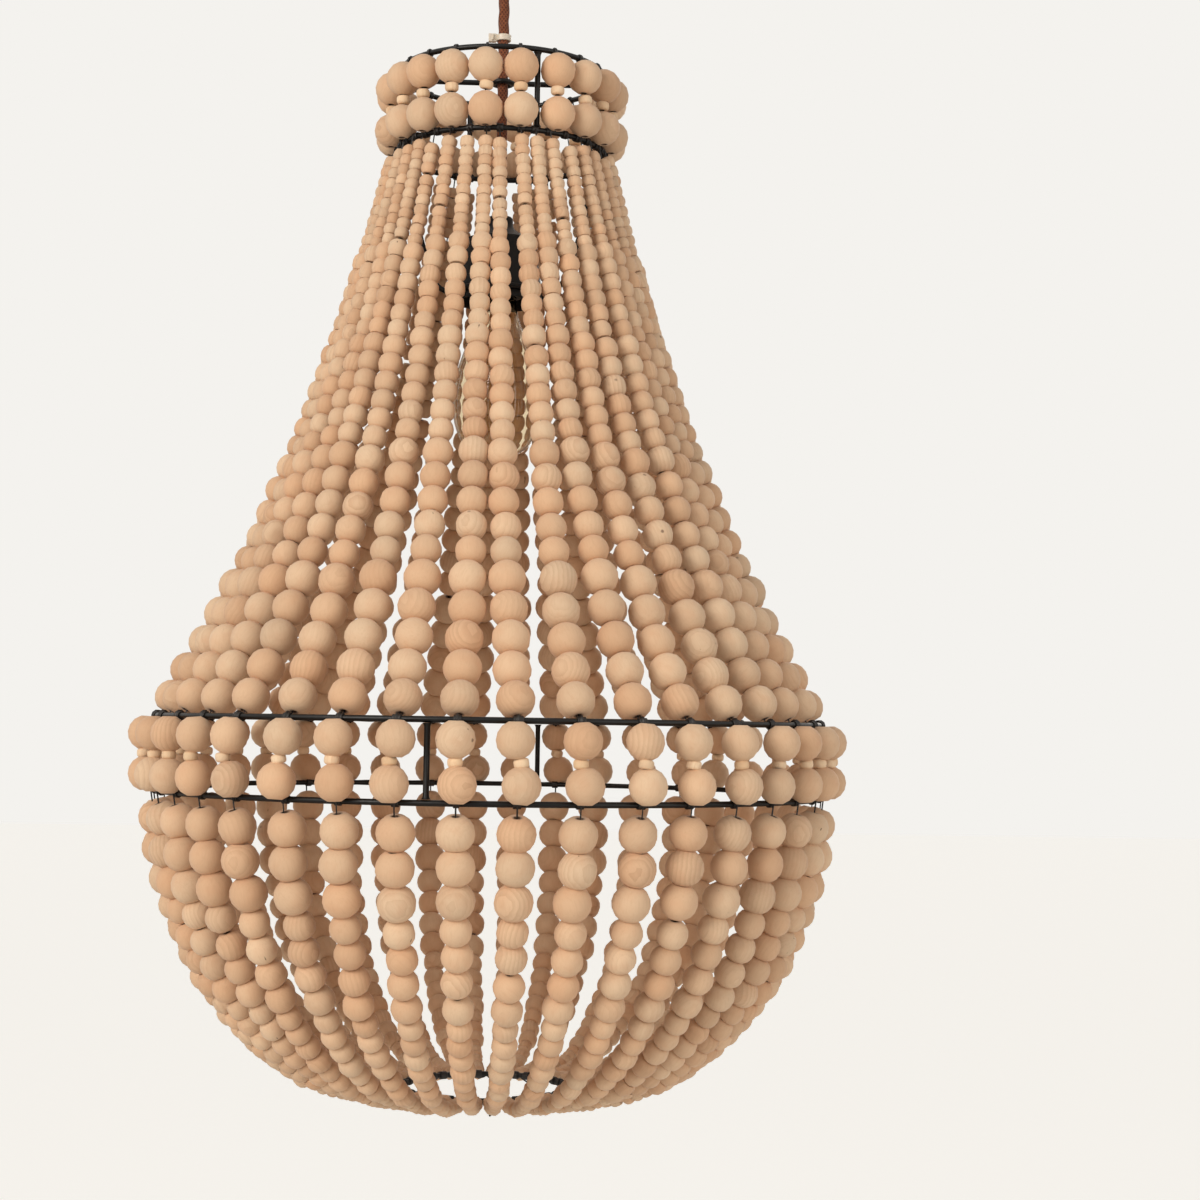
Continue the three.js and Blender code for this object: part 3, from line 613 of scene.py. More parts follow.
dress(cap, rolled_brass(), "bulb", "brass_cap", "bulb_cap")

# The bulb's glass
# Blown soda glass, pear-shaped, with a light amber tint. It is one thin shell with a narrow neck that
# sits in the cap.
BULB_RADIUS = 32.5 * MM
BULB_LENGTH = 133 * MM
BULB_NECK_RADIUS = 12.2 * MM
BULB_WALL = 0.9 * MM
BULB_STEPS = 64
BULB_CLEARANCE = 0.3 * MM
GLASS_RADIUS_SHARES = [0.34, 0.72, 0.95, 1, 0.92, 0.72, 0.46]
GLASS_HEIGHT_SHARES = [0.006, 0.06, 0.18, 0.32, 0.47, 0.62, 0.78]


def amber_glass():
    # Soda-lime glass, blown: clear with an amber tint, perfectly smooth, and sharp in its reflections.
    material = new_material("amber_glass")
    place = add_node(material, "TexCoord")["Object"]
    ripple = add_node(material, "TexNoise", {"Vector": place, "Scale": 1 / (25 * MM), "Detail": 1})["Fac"]
    bump = add_node(material, "Bump", {"Height": ripple, "Distance": 0.2 * MM, "Strength": 0.3})[0]
    return shaded(material, {
        "Normal": bump, "Base Color": linear("#fbf1dc"), "Transmission Weight": 1, "IOR": 1.5,
        "Specular IOR Level": 0.25, "Roughness": 0,
    })


neck_top = CAP_MOUTH + NECK_DEPTH - BULB_CLEARANCE


def glass_line(inset):
    low = neck_top - BULB_LENGTH + inset
    belly = [
        (BULB_RADIUS * radius - inset, low + (neck_top - low) * height)
        for radius, height in zip(GLASS_RADIUS_SHARES, GLASS_HEIGHT_SHARES)
    ]
    neck = [(BULB_NECK_RADIUS - inset, neck_top - NECK_DEPTH), (BULB_NECK_RADIUS - inset, neck_top)]
    return flowing([(0, low), *belly, *neck])


glass = turned("bulb_envelope", BULB_STEPS, [*glass_line(0), *reversed(glass_line(BULB_WALL))])
dress(glass, amber_glass(), "bulb", "clear_glass", "bulb_glass")

# The bulb's filament
# A squirrel cage of long straight filaments, hung on small hooks from a glass stem. The hooks at the
# foot meet just under the stem's tip.
STEM_RADIUS = 2.4 * MM
STEM_NECK_RADIUS = 3.6 * MM
STEM_FLARE_RADIUS = 11 * MM
STEM_SHARE = 0.52
STEM_STEPS = 32
CAGE_RADIUS = 9.75 * MM
CAGE_TURNS = 6
CAGE_ARC = 327.6
CAGE_SHARE = 0.7
FILAMENT_RADIUS = 0.3 * MM
WIRE_ROUND = 3
WIRE_SHARP_ANGLE = 60


def wires(name, paths, radius, resolution=WIRE_ROUND):
    """Round wires along lists of points, as one mesh."""
    curve = bpy.data.curves.new(name, "CURVE")
    curve.dimensions = "3D"
    curve.bevel_depth = radius
    curve.bevel_resolution = resolution
    curve.use_fill_caps = True
    for path in paths:
        spline = curve.splines.new("POLY")
        spline.points.add(len(path) - 1)
        for point, place in zip(spline.points, path):
            point.co = (*place, 1)
    pick(in_scene(name, curve))
    bpy.ops.object.convert(target="MESH")
    bpy.ops.object.shade_smooth_by_angle(angle=math.radians(WIRE_SHARP_ANGLE))
    return bpy.context.object


def tungsten_painted_glint():
    # Tungsten and nickel wire: drawn and warm grey, but painted copper all over as a painted warm glint of
    # the light that it catches.
    material, _ = mottled("tungsten_painted_glint", 8 * MM, 2, "#b8703f", "#d9a072")
    return shaded(material, {"Metallic": 1, "Roughness": 0.3})


def round_lamp(radius, height, degrees):
    """A place round the lamp's axis."""
    angle = math.radians(degrees)
    return Vector((radius * math.sin(angle), -radius * math.cos(angle), height))


stem_top = neck_top - NECK_DEPTH / 2
stem_low = stem_top - BULB_LENGTH * STEM_SHARE
stem = turned("glass_stem", STEM_STEPS, flowing([
    (0, stem_low),
    (STEM_RADIUS, stem_low + STEM_RADIUS),
    (STEM_RADIUS, stem_top - 2 * NECK_DEPTH),
    (STEM_NECK_RADIUS, stem_top - NECK_DEPTH),
    (STEM_FLARE_RADIUS, stem_top - STEM_RADIUS),
    (STEM_FLARE_RADIUS, stem_top),
    (0, stem_top),
]))
cage_top = stem_low + (stem_top - stem_low) * CAGE_SHARE
cage_low = stem_low - STEM_RADIUS
cage = []
for k in range(2 * CAGE_TURNS + 1):
    height = cage_low if k % 2 else cage_top
    cage.append(round_lamp(CAGE_RADIUS, height, CAGE_ARC * k / (2 * CAGE_TURNS)))
hooks = [[Vector((0, 0, point.z)), point] for point in cage]
cage_wire = wires("cage_wire", [cage, *hooks], FILAMENT_RADIUS, 1)
filament = joined("squirrel_cage", stem, cage_wire)
dress(filament, tungsten_painted_glint(), "bulb", "bulb_wire", "bulb_filament")

# The frame's rings
# Steel wire of 4 mm, rolled round, butt-welded and powder-coated satin black. The weld stands a little
# proud. The beads' columns and strands hang on these five rings.
FRAME_WIRE_RADIUS = 2 * MM
CROWN_RADIUS = 76 * MM
WAIST_RADIUS = 240 * MM
BOTTOM_RADIUS = 60 * MM
RING_SEGMENTS = 160
RING_SIDES = 12
WELD_PROUD = 0.45 * MM
WELD_LENGTH = 3 * MM
WELD_ANGLE = 205


def powder_coat():
    # Polyester powder coat on steel wire: satin black, a little lumpy where it was thick, and dusty.
    material, _ = mottled("powder_coat", 18 * MM, 4, "#040405", "#0e0d0c")
    place = add_node(material, "TexCoord")["Object"]
    lumps = add_node(material, "TexNoise", {"Vector": place, "Scale": 1 / (2.5 * MM), "Detail": 3})["Fac"]
    rough = add_node(material, "MapRange", {"Value": lumps, "To Min": 0.3, "To Max": 0.48})[0]
    bump = add_node(material, "Bump", {"Height": lumps, "Distance": 0.25 * MM, "Strength": 0.5})[0]
    return shaded(material, {"Roughness": rough, "Normal": bump, "Specular IOR Level": 0.3})


def hoop(name, radius, height, segments=RING_SEGMENTS):
    """A ring of frame wire."""
    ring = primitive(
        name,
        bpy.ops.mesh.primitive_torus_add,
        major_radius=radius,
        minor_radius=FRAME_WIRE_RADIUS,
        major_segments=segments,
        minor_segments=RING_SIDES,
    )
    ring.data.transform(Matrix.Translation((0, 0, height)))
    ring.data.shade_smooth()
    return ring


def swell_weld(ring, radius, height):
    """Thickens a ring's wire where its ends are welded."""
    weld = round_lamp(radius, height, WELD_ANGLE)
    for vertex in ring.data.vertices:
        centre = Vector((*(vertex.co.xy.normalized() * radius), height))
        near = max(0, 1 - (centre - weld).length / WELD_LENGTH)
        vertex.co = centre + (vertex.co - centre) * (1 + near * WELD_PROUD / FRAME_WIRE_RADIUS)


coat = powder_coat()
RING_RADII = {
    "crown_upper_ring": CROWN_RADIUS,
    "crown_lower_ring": CROWN_RADIUS,
    "waist_upper_ring": WAIST_RADIUS,
    "waist_lower_ring": WAIST_RADIUS,
    "bottom_ring": BOTTOM_RADIUS,
}
ring_heights = {node: middle_height(node) for node in RING_RADII}
for node, radius in RING_RADII.items():
    ring = hoop(node.replace("ring", "hoop"), radius, ring_heights[node])
    swell_weld(ring, radius, ring_heights[node])
    dress(ring, coat, "shade", "black_wire", node)

# The struts
# Straight lengths of the same wire, welded upright between the two rings of the crown and the two of
# the waist. A fillet of weld metal swells at each end.
FILLET_RADIUS = 3.1 * MM
FILLET_LENGTH = 2.6 * MM
STRUT_STEPS = 24
STRUT_COUNT = 4


def strut(name, node):
    """A strut in the place of its node, with its two weld fillets."""
    low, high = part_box(node)
    middle = (low + high) / 2
    fillet = FILLET_RADIUS - FRAME_WIRE_RADIUS
    piece = turned(name, STRUT_STEPS, [
        (0, low.z),
        (FILLET_RADIUS, low.z),
        (FRAME_WIRE_RADIUS + fillet / 4, low.z + FILLET_LENGTH / 2),
        (FRAME_WIRE_RADIUS, low.z + FILLET_LENGTH),
        (FRAME_WIRE_RADIUS, high.z - FILLET_LENGTH),
        (FRAME_WIRE_RADIUS + fillet / 4, high.z - FILLET_LENGTH / 2),
        (FILLET_RADIUS, high.z),
        (0, high.z),
    ])
    piece.data.transform(Matrix.Translation((middle.x, middle.y, 0)))
    return piece


for level in ("crown", "waist"):
    for k in range(1, STRUT_COUNT + 1):
        post = strut(f"{level}_post_{k}", f"{level}_strut_{k}")
        dress(post, coat, "shade", "black_wire", f"{level}_strut_{k}")

# The top bar
# A wire across the crown, bent into an eyelet in its middle that the cord passes through. It is welded
# under the crown's upper ring.
TOP_BAR_ANGLE = 90
EYELET_RADIUS = 7 * MM
bar_height = middle_height("top_bar")
bar_paths = [
    [round_lamp(radius, bar_height, TOP_BAR_ANGLE + side) for radius in (EYELET_RADIUS, CROWN_RADIUS)]
    for side in (0, 180)
]
eyelet = hoop("eyelet", EYELET_RADIUS, bar_height, RING_SEGMENTS // 4)
bar = joined("eyelet_bar", eyelet, wires("bar_rods", bar_paths, FRAME_WIRE_RADIUS))
dress(bar, coat, "shade", "black_wire", "top_bar")

# The drop bracket
# Two legs of frame wire, bent in an easy curve from the crown's lower ring down to a seat ring. The
# seat ring rests on the flare of the bell cup and carries the whole shade.
BRACKET_ANGLE = 80
LEG_RADIUS_SHARES = [1, 0.88, 0.72, 0.45, 0.29, 0]
LEG_HEIGHT_SHARES = [1, 0.75, 0.46, 0.15, 0.05, 0]
LEG_STEPS = 6
LEG_TOP_RADIUS = 71.7 * MM
SEAT_HEIGHT = -274 * MM
SEAT_RADIUS = 34.4 * MM
leg = flowing([
    (
        SEAT_RADIUS + (LEG_TOP_RADIUS - SEAT_RADIUS) * across,
        SEAT_HEIGHT + (ring_heights["crown_lower_ring"] - SEAT_HEIGHT) * up,
    )
    for across, up in zip(LEG_RADIUS_SHARES, LEG_HEIGHT_SHARES)
], LEG_STEPS)
leg_paths = [
    [round_lamp(radius, height, BRACKET_ANGLE + side) for radius, height in leg] for side in (0, 180)
]
seat = hoop("seat", SEAT_RADIUS, SEAT_HEIGHT, RING_SEGMENTS // 2)
bracket = joined("drop_bracket", seat, wires("bracket_legs", leg_paths, FRAME_WIRE_RADIUS))
dress(bracket, coat, "shade", "black_wire", "holder_bracket")

# The beads
# Raw hardwood balls, turned, drilled through and cut flat at both holes, neither sealed nor stained, so
# each differs in colour. The strands have five sizes of which the small ones are nearer to drums. The
# columns have beads that are rounder than the strands' largest.
Bead = namedtuple("Bead", "radius height hole fullness segments side_steps")
LARGEST_BEAD = Bead(12.5 * MM, 22.4 * MM, 2.2 * MM, 2.02, 14, 6)
ROUND_BEAD = Bead(12.5 * MM, 23.5 * MM, 2 * MM, 2, 14, 6)
BIG_BEAD = Bead(10.35 * MM, 18.5 * MM, 2 * MM, 2.08, 12, 6)
MEDIUM_BEAD = Bead(8.5 * MM, 14.2 * MM, 1.8 * MM, 2.3, 12, 5)
SMALL_BEAD = Bead(7.25 * MM, 11.9 * MM, 1.6 * MM, 2.45, 10, 4)
TINY_BEAD = Bead(5.3 * MM, 7.65 * MM, 1.3 * MM, 2.2, 8, 4)
BEAD_SEED = 11
BEAD_SHARP_ANGLE = 50
CONTACT_GAP = 0.2 * MM
LEAN_AXIS_TURN = 6
GRAIN_SPREAD = 400 * MM
GRAIN_LEAN = 0.35
GRAIN_RING_PITCH = 3 * MM
# At a scale of 1 a wave texture's bands are this far apart.
WAVE_PITCH = math.tau / 20
TINT_SPREAD = 0.04
# How far out from the hole the painted shade reaches, as a share of the hole's radius.
PAINTED_SHADE_REACH = 1.1


def mesh_alone(piece):
    """A piece's mesh, kept while the piece itself goes."""
    mesh = piece.data
    bpy.data.objects.remove(piece)
    return mesh


def bead_model(size):
    """A drilled bead with flat ends. A fullness of 2 makes its side a ball's, and more a drum's."""
    end = size.height / 2 - CONTACT_GAP / 2
    reach = math.asin(end / size.radius)
    facet_share = 2 / (1 + math.cos(math.pi / size.segments))
    side = []
    for k in range(size.side_steps + 1):
        level = size.radius * math.sin(reach * (2 * k / size.side_steps - 1))
        share = (1 - abs(level / size.radius) ** size.fullness) ** (1 / size.fullness)
        side.append((size.radius * share * facet_share, level))
    outline = [(size.hole, -end), *side, (size.hole, end), (size.hole, -end)]
    return mesh_alone(turned("bead", size.segments, outline, BEAD_SHARP_ANGLE))


def raw_turned_wood(name, light, middle, dark):
    # Raw turned hardwood, such as beech or schima: matt and warm, sanded but not sealed. Growth rings
    # 3 mm apart show faintly, and a few beads have small knots and checks. Fibres run along the bore,
    # drawn about 1 mm wide, as coarse as they need to be to show.
    material = new_material(name)
    grain = add_node(material, "Attribute", attribute_name="grain")["Vector"]
    tint = add_node(material, "Attribute", attribute_name="tint")["Vector"]
    # The beads are painted dark round each hole and down the bore: painted shade where the beads meet and
    # inside the hole.
    painted_hole_shade = add_node(material, "Attribute", attribute_name="painted_hole_shade")["Fac"]
    tints = add_node(material, "SeparateXYZ", {0: tint})
    rings = add_node(
        material,
        "TexWave",
        {"Vector": grain, "Scale": WAVE_PITCH / GRAIN_RING_PITCH, "Distortion": 7, "Detail": 1.5,
         "Detail Scale": 0.5},
        wave_profile="SAW",
    )["Fac"]
    long_grain = add_node(material, "VectorMath", {0: grain, 1: (1, 1, 0.1)}, operation="MULTIPLY")[0]
    slit_grain = add_node(material, "VectorMath", {0: grain, 1: (1, 1, 0.14)}, operation="MULTIPLY")[0]
    fibres = add_node(
        material, "TexNoise", {"Vector": long_grain, "Scale": 1 / (1.1 * MM), "Detail": 3}
    )["Fac"]
    patches = add_node(material, "TexNoise", {"Vector": grain, "Scale": 1 / (10 * MM), "Detail": 2})["Fac"]
    knots = add_node(material, "TexVoronoi", {"Vector": grain, "Scale": 1 / (15 * MM)})["Distance"]
    slits = add_node(material, "TexVoronoi", {"Vector": slit_grain, "Scale": 1 / (9 * MM)})["Distance"]
    shares = []
    for pattern, none_at, most_at, most in (
        (rings, 0.35, 1, 0.27),
        (fibres, 0.48, 0.85, 0.16),
        (patches, 0.45, 0.8, 0.3),
        (knots, 0.1, 0.05, 1),
        (slits, 0.07, 0.04, 1),
        (tints["X"], 0.86, 0.94, 0.7),
        # The painted shade at the holes.
        (painted_hole_shade, 0.6, 1, 0.8),
    ):
        limits = {"Value": pattern, "From Min": none_at, "From Max": most_at, "To Max": most}
        shares.append(add_node(material, "MapRange", limits)[0])
    ring_line, streaks, blush, knot, slit, marked, painted_hole_shade_share = shares
    figured = add_node(material, "Math", {0: tints["Z"], 1: 3}, operation="POWER")[0]
    ring_share = add_node(material, "Math", {0: ring_line, 1: figured}, operation="MULTIPLY")[0]
    marks = add_node(material, "Math", {0: knot, 1: slit}, operation="MAXIMUM")[0]
    mark_share = add_node(material, "Math", {0: marks, 1: marked}, operation="MULTIPLY")[0]
    colour = linear(middle)
    for share, code in (
        (tints["X"], light),
        (ring_share, dark),
        (streaks, dark),
        (blush, "#cf9b76"),
        (mark_share, "#4f2c1b"),
        # The painted shade at the holes.
        (painted_hole_shade_share, "#3c2115"),
    ):
        colours = {0: share, MIX_A: colour, MIX_B: linear(code)}
        colour = add_node(material, "Mix", colours, data_type="RGBA")[MIX_RESULT]
    tinted = add_node(material, "HueSaturation", {"Color": colour, "Value": tints["Y"]})[0]
    bump = add_node(material, "Bump", {"Height": fibres, "Distance": 0.06 * MM, "Strength": 0.3})[0]
    return shaded(material, {
        "Base Color": tinted, "Normal": bump, "Roughness": 0.8,
        "Sheen Weight": 0.1, "Sheen Roughness": 0.6,
    })


bead_sizes = (LARGEST_BEAD, ROUND_BEAD, BIG_BEAD, MEDIUM_BEAD, SMALL_BEAD, TINY_BEAD)
bead_models = {size: bead_model(size) for size in bead_sizes}
wood = raw_turned_wood("raw_turned_wood", "#dcbf9f", "#d4ac88", "#a0714e")
dice = random.Random(BEAD_SEED)


def bead_place(centre, way, tilt, slide):
    """Where one bead sits: near its place on the wire, turned about it and a little askew."""
    lean = math.radians(dice.gauss(0, tilt))
    askew = Matrix.Rotation(lean, 4, (math.cos(dice.random() * LEAN_AXIS_TURN), 1, 0))
    shift = Vector((dice.gauss(0, slide), dice.gauss(0, slide), 0))
    stand = way.to_track_quat("Z", "X").to_matrix().to_4x4()
    spin = Matrix.Rotation(dice.uniform(0, math.tau), 4, "Z")
    return Matrix.Translation(centre) @ stand @ Matrix.Translation(shift) @ askew @ spin


def string_beads(name, beads, material, node):
    """Many beads as one piece. Each carries its own stretch of grain and its own tint."""
    points, faces, grains, tints, painted_hole_shades = [], [], [], [], []
    for size, place in beads:
        model = bead_models[size]
        start = len(points)
        offset = Vector([dice.uniform(-GRAIN_SPREAD, GRAIN_SPREAD) for _ in range(3)])
        turn = Matrix.Rotation(dice.gauss(0, GRAIN_LEAN), 3, "X")
        tint = (dice.random(), dice.gauss(1.0, TINT_SPREAD), dice.random())
        for vertex in model.vertices:
            points.append(place @ vertex.co)
            grains.extend(turn @ vertex.co + offset)
            tints.extend(tint)
            # Points round the hole and in the bore take the painted shade.
            painted_hole_shades.append(1.0 if vertex.co.xy.length < size.hole * PAINTED_SHADE_REACH else 0.0)
        faces.extend(tuple(start + i for i in polygon.vertices) for polygon in model.polygons)
    piece = from_points(name, points, faces)
    mesh = piece.data
    mesh.attributes.new("grain", "FLOAT_VECTOR", "POINT").data.foreach_set("vector", grains)
    mesh.attributes.new("tint", "FLOAT_VECTOR", "POINT").data.foreach_set("vector", tints)
    mesh.attributes.new("painted_hole_shade", "FLOAT", "POINT").data.foreach_set("value", painted_hole_shades)
    mesh.set_sharp_from_angle(angle=math.radians(BEAD_SHARP_ANGLE))
    dress(piece, material, "shade", "raw_wood", node)


# The spacers
# Small drums of paler wood with rounded edges, one between the two beads of each column.
SPACER = Bead(4.9 * MM, 6.3 * MM, 1.6 * MM, None, 16, 3)
SPACER_EDGE = 2.1 * MM
spacer_end = SPACER.height / 2
spacer_face = SPACER.radius - SPACER_EDGE
drum = turned("spacer", SPACER.segments, [
    (SPACER.hole, -spacer_end),
    *arc(spacer_face, SPACER_EDGE - spacer_end, SPACER_EDGE, -90, 0, SPACER.side_steps),
    *arc(spacer_face, spacer_end - SPACER_EDGE, SPACER_EDGE, 0, 90, SPACER.side_steps),
    (SPACER.hole, spacer_end),
    (SPACER.hole, -spacer_end),
])
bead_models[SPACER] = mesh_alone(drum)
pale_wood = raw_turned_wood("pale_turned_wood", "#ecd3b3", "#e3c39c", "#bd9068")

# The columns of the crown and the waist
# Each is a bead, a spacer and a bead, threaded between two rings and standing a little outside them.
# The wire is slack, so the beads lean and the spacers sit askew.
COLUMN_TILT = 3
COLUMN_SLIDE_SHARE = 0.25
SPACER_TILT = 8
CROWN_SLACK = 0.3 * MM
WAIST_SLACK = 1.6 * MM
STRUT_ROOM_SHARE = 1.115
CROWN_WIRES = 4
CROWN_WIRE_COLUMNS = 5
CROWN_QUARTER = 360 / CROWN_WIRES
CROWN_PITCH = CROWN_QUARTER / (CROWN_WIRE_COLUMNS - 1 + STRUT_ROOM_SHARE)
CROWN_PHASE = 19
CROWN_AXIS = 82 * MM
CROWN_TURN = -4
STRANDS = 40
STRAND_PITCH = 360 / STRANDS
STRAND_PHASE = 4
STRAND_WIRES = 10
STRAND_DRIFT = 2.6
STRAND_STRAY = 0.7
WAIST_AXIS = 247 * MM
UP = Vector((0, 0, 1))


def column(radius, degrees, top, bottom, slack):
    """The two beads and the spacer of one column, as sizes and places."""
    height = LARGEST_BEAD.height
    lean = math.degrees(dice.gauss(0, slack) / radius)
    beads = []
    for level, way in ((top - height / 2, 1), (bottom + height / 2, -1)):
        place = round_lamp(radius, level, degrees + lean * way)
        beads.append((ROUND_BEAD, bead_place(place, UP, COLUMN_TILT, slack * COLUMN_SLIDE_SHARE)))
    spare = top - bottom - 2 * height - SPACER.height
    middle = round_lamp(radius, (top + bottom + dice.uniform(-spare, spare)) / 2, degrees)
    return beads, (SPACER, bead_place(middle, UP, SPACER_TILT, slack))


crown_angles = [
    CROWN_PHASE + wire * CROWN_QUARTER + (k + STRUT_ROOM_SHARE / 2) * CROWN_PITCH
    for wire in range(CROWN_WIRES)
    for k in range(CROWN_WIRE_COLUMNS)
]
strand_angles = []
for n in range(STRANDS):
    angle = STRAND_PHASE + n * STRAND_PITCH
    drift = STRAND_DRIFT * math.sin(math.radians(angle))
    strand_angles.append(angle + drift + dice.uniform(-STRAND_STRAY, STRAND_STRAY))
WIRE_STRANDS = STRANDS // STRAND_WIRES

CROWN_SEAT = 1 * MM
CROWN_HANG = 3.8 * MM
crown_top = ring_heights["crown_upper_ring"] - CROWN_HANG
crown_bottom = ring_heights["crown_lower_ring"] + CROWN_SEAT
for wire in range(CROWN_WIRES):
    columns = [
        column(CROWN_AXIS, degrees, crown_top, crown_bottom, CROWN_SLACK)
        for degrees in crown_angles[wire * CROWN_WIRE_COLUMNS:(wire + 1) * CROWN_WIRE_COLUMNS]
    ]
    node = f"crown_beads_{wire + 1}"
    balls = [bead for pair, _ in columns for bead in pair]
    string_beads(f"crown_balls_{wire + 1}", balls, wood, node)
    string_beads(f"crown_spacers_{wire + 1}", [spacer for _, spacer in columns], pale_wood, node)

# The upper strands
# Forty strands fall from the crown's lower ring in a hollow curve and swing out to the waist, with
# their beads graded from the smallest at the top to the largest.
UPPER_RUNS = [(TINY_BEAD, 10), (SMALL_BEAD, 6), (MEDIUM_BEAD, 6), (BIG_BEAD, 5), (LARGEST_BEAD, 5)]
UPPER_BARE = 6 * MM
UPPER_BARE_SPREAD = 6 * MM
HOOK_SPREAD = 0.8
UPPER_REST = 4 * MM
PINCH_RADIUS_SHARE = 0.335
PINCH_HEIGHT_SHARE = 0.474
HOOK_REACH = 3.1 * MM
LINE_STEPS = 200
UPPER_SWAY = 2.2 * MM
SWAY_AT_TOP = 0.4
UPPER_SAG = (5 * MM, 1.6)
SAG_LEAN = 0.2
BEAD_TILT = 3.5
BEAD_SLIDE_SHARE = 0.035
BEAD_HEIGHT_SPREAD = 0.02
DIP_START_SHARE = 0.62
DIP_SHARES = (0.4, 1.3)
SLACK_SPOTS = 2
SLACK_CHANCE = 0.55
SLACK_GAPS = (0.8 * MM, 3 * MM)
SLACK_END_BEADS = 2
STRING_RADIUS = 0.55 * MM
STRING_POINT_STEP = 10


class Strand:
    """One strand's line, swayed a little from the true one, measured along its length.

    A sag is how far the strand is drawn in, and how late: above 1 it is deepest past its middle.
    """

    def __init__(self, line, start_angle, end_angle, sway, sag, dip=0):
        side, bulge, wave = (dice.gauss(0, sway / 2) for _ in range(3))
        low = dip * dice.uniform(*DIP_SHARES)
        sag_depth, sag_delay = sag
        sag_depth *= 1 - SAG_LEAN * math.sin(math.radians(end_angle))
        self.points = []
        for k, (radius, height) in enumerate(line):
            t = k / (len(line) - 1)
            hang = math.sin(math.pi * t)
            drawn_in = sag_depth * math.sin(math.pi * t**sag_delay)
            across = side * hang * (SWAY_AT_TOP + t) + wave * math.sin(math.tau * t) * t
            fallen = (height - line[0][1]) / (line[-1][1] - line[0][1])
            degrees = start_angle + (end_angle - start_angle) * fallen
            height -= low * math.sin(math.pi * max(0, (t - DIP_START_SHARE) / (1 - DIP_START_SHARE)))
            place = round_lamp(radius + bulge * hang * t - drawn_in, height, degrees)
            self.points.append(place + across * round_lamp(1, 0, degrees + 90))
        self.lengths = [0.0]
        for a, b in zip(self.points, self.points[1:]):
            self.lengths.append(self.lengths[-1] + (b - a).length)

    def at(self, distance):
        """The place and the way at a distance along the strand."""
        k = 0
        while k + 2 < len(self.points) and self.lengths[k + 1] < distance:
            k += 1
        a, b = self.points[k], self.points[k + 1]
        share = (distance - self.lengths[k]) / (self.lengths[k + 1] - self.lengths[k])
        return a.lerp(b, share), (b - a).normalized()

    def beads(self, runs, start, rest, nod=0):
        """The beads of graded runs, from the bare start to the rest. The first nods outward."""
        sizes = [size for size, count in runs for _ in range(count)]
        room = self.lengths[-1] - start - rest
        gaps = {}
        for _ in range(SLACK_SPOTS):
            if dice.random() < SLACK_CHANCE:
                gap = dice.uniform(*SLACK_GAPS)
                gaps[dice.randrange(SLACK_END_BEADS, len(sizes) - SLACK_END_BEADS)] = gap
        heights = [size.height * dice.gauss(1, BEAD_HEIGHT_SPREAD) for size in sizes]
        fit = (room - sum(gaps.values())) / sum(heights)
        placed = []
        along = start
        for k, (size, height) in enumerate(zip(sizes, heights)):
            centre, way = self.at(along + height * fit / 2)
            if k == 0:
                outward = Vector((centre.x, centre.y, 0)).normalized()
                way = (way - outward * nod).normalized()
                centre -= outward * nod * height / 2
            slide = size.radius * BEAD_SLIDE_SHARE
            placed.append((size, bead_place(centre, -way, BEAD_TILT, slide)))
            along += height * fit + gaps.get(k, 0)
        return placed


def upper_line():
    start = Vector((CROWN_RADIUS + HOOK_REACH, ring_heights["crown_lower_ring"]))
    end = Vector((WAIST_RADIUS - HOOK_REACH, ring_heights["waist_upper_ring"]))
    pinch = Vector((
        start.x + (end.x - start.x) * PINCH_RADIUS_SHARE,
        end.y + (start.y - end.y) * PINCH_HEIGHT_SHARE,
    ))
    line = []
    for k in range(LINE_STEPS + 1):
        t = k / LINE_STEPS
        line.append((1 - t) ** 2 * start + 2 * t * (1 - t) * pinch + t * t * end)
    return line


string_paths = []
upper = upper_line()
hook_angles = [
    STRAND_PHASE + CROWN_TURN + n * STRAND_PITCH + dice.gauss(0, HOOK_SPREAD) for n in range(STRANDS)
]
for wire in range(STRAND_WIRES):
    beads = []
    for n in range(wire * WIRE_STRANDS, (wire + 1) * WIRE_STRANDS):
        strand = Strand(upper, hook_angles[n], strand_angles[n], UPPER_SWAY, UPPER_SAG)
        bare = UPPER_BARE + dice.uniform(0, UPPER_BARE_SPREAD)
        beads.extend(strand.beads(UPPER_RUNS, bare, UPPER_REST))
        string_paths.append(strand.points[::STRING_POINT_STEP])
    string_beads(f"upper_balls_{wire + 1:02d}", beads, wood, f"upper_strands_{wire + 1:02d}")

# The basket's strands
# Forty columns stand round the waist, and below them forty strands leave the lower ring on a few
# millimetres of bare wire and swing in under the lamp to the bottom ring.
BASKET_RUNS = [(LARGEST_BEAD, 3), (BIG_BEAD, 4), (MEDIUM_BEAD, 4), (SMALL_BEAD, 3), (TINY_BEAD, 9)]
BASKET_BARE = 8 * MM
BASKET_REST = 3 * MM
BASKET_FULLNESS = 2.2
BASKET_SWAY = 1.6 * MM
BASKET_SAG = (8.5 * MM, 0.8)
BASKET_DIP = 3.2 * MM
BASKET_NOD = 0.16


def basket_line():
    start = Vector((WAIST_RADIUS + HOOK_REACH, ring_heights["waist_lower_ring"]))
    end = Vector((BOTTOM_RADIUS + HOOK_REACH, ring_heights["bottom_ring"]))
    line = []
    for k in range(LINE_STEPS + 1):
        turn = math.pi / 2 * k / LINE_STEPS
        across = max(0, math.cos(turn)) ** (2 / BASKET_FULLNESS)
        down = math.sin(turn) ** (2 / BASKET_FULLNESS)
        line.append(Vector((end.x + (start.x - end.x) * across, start.y + (end.y - start.y) * down)))
    return line


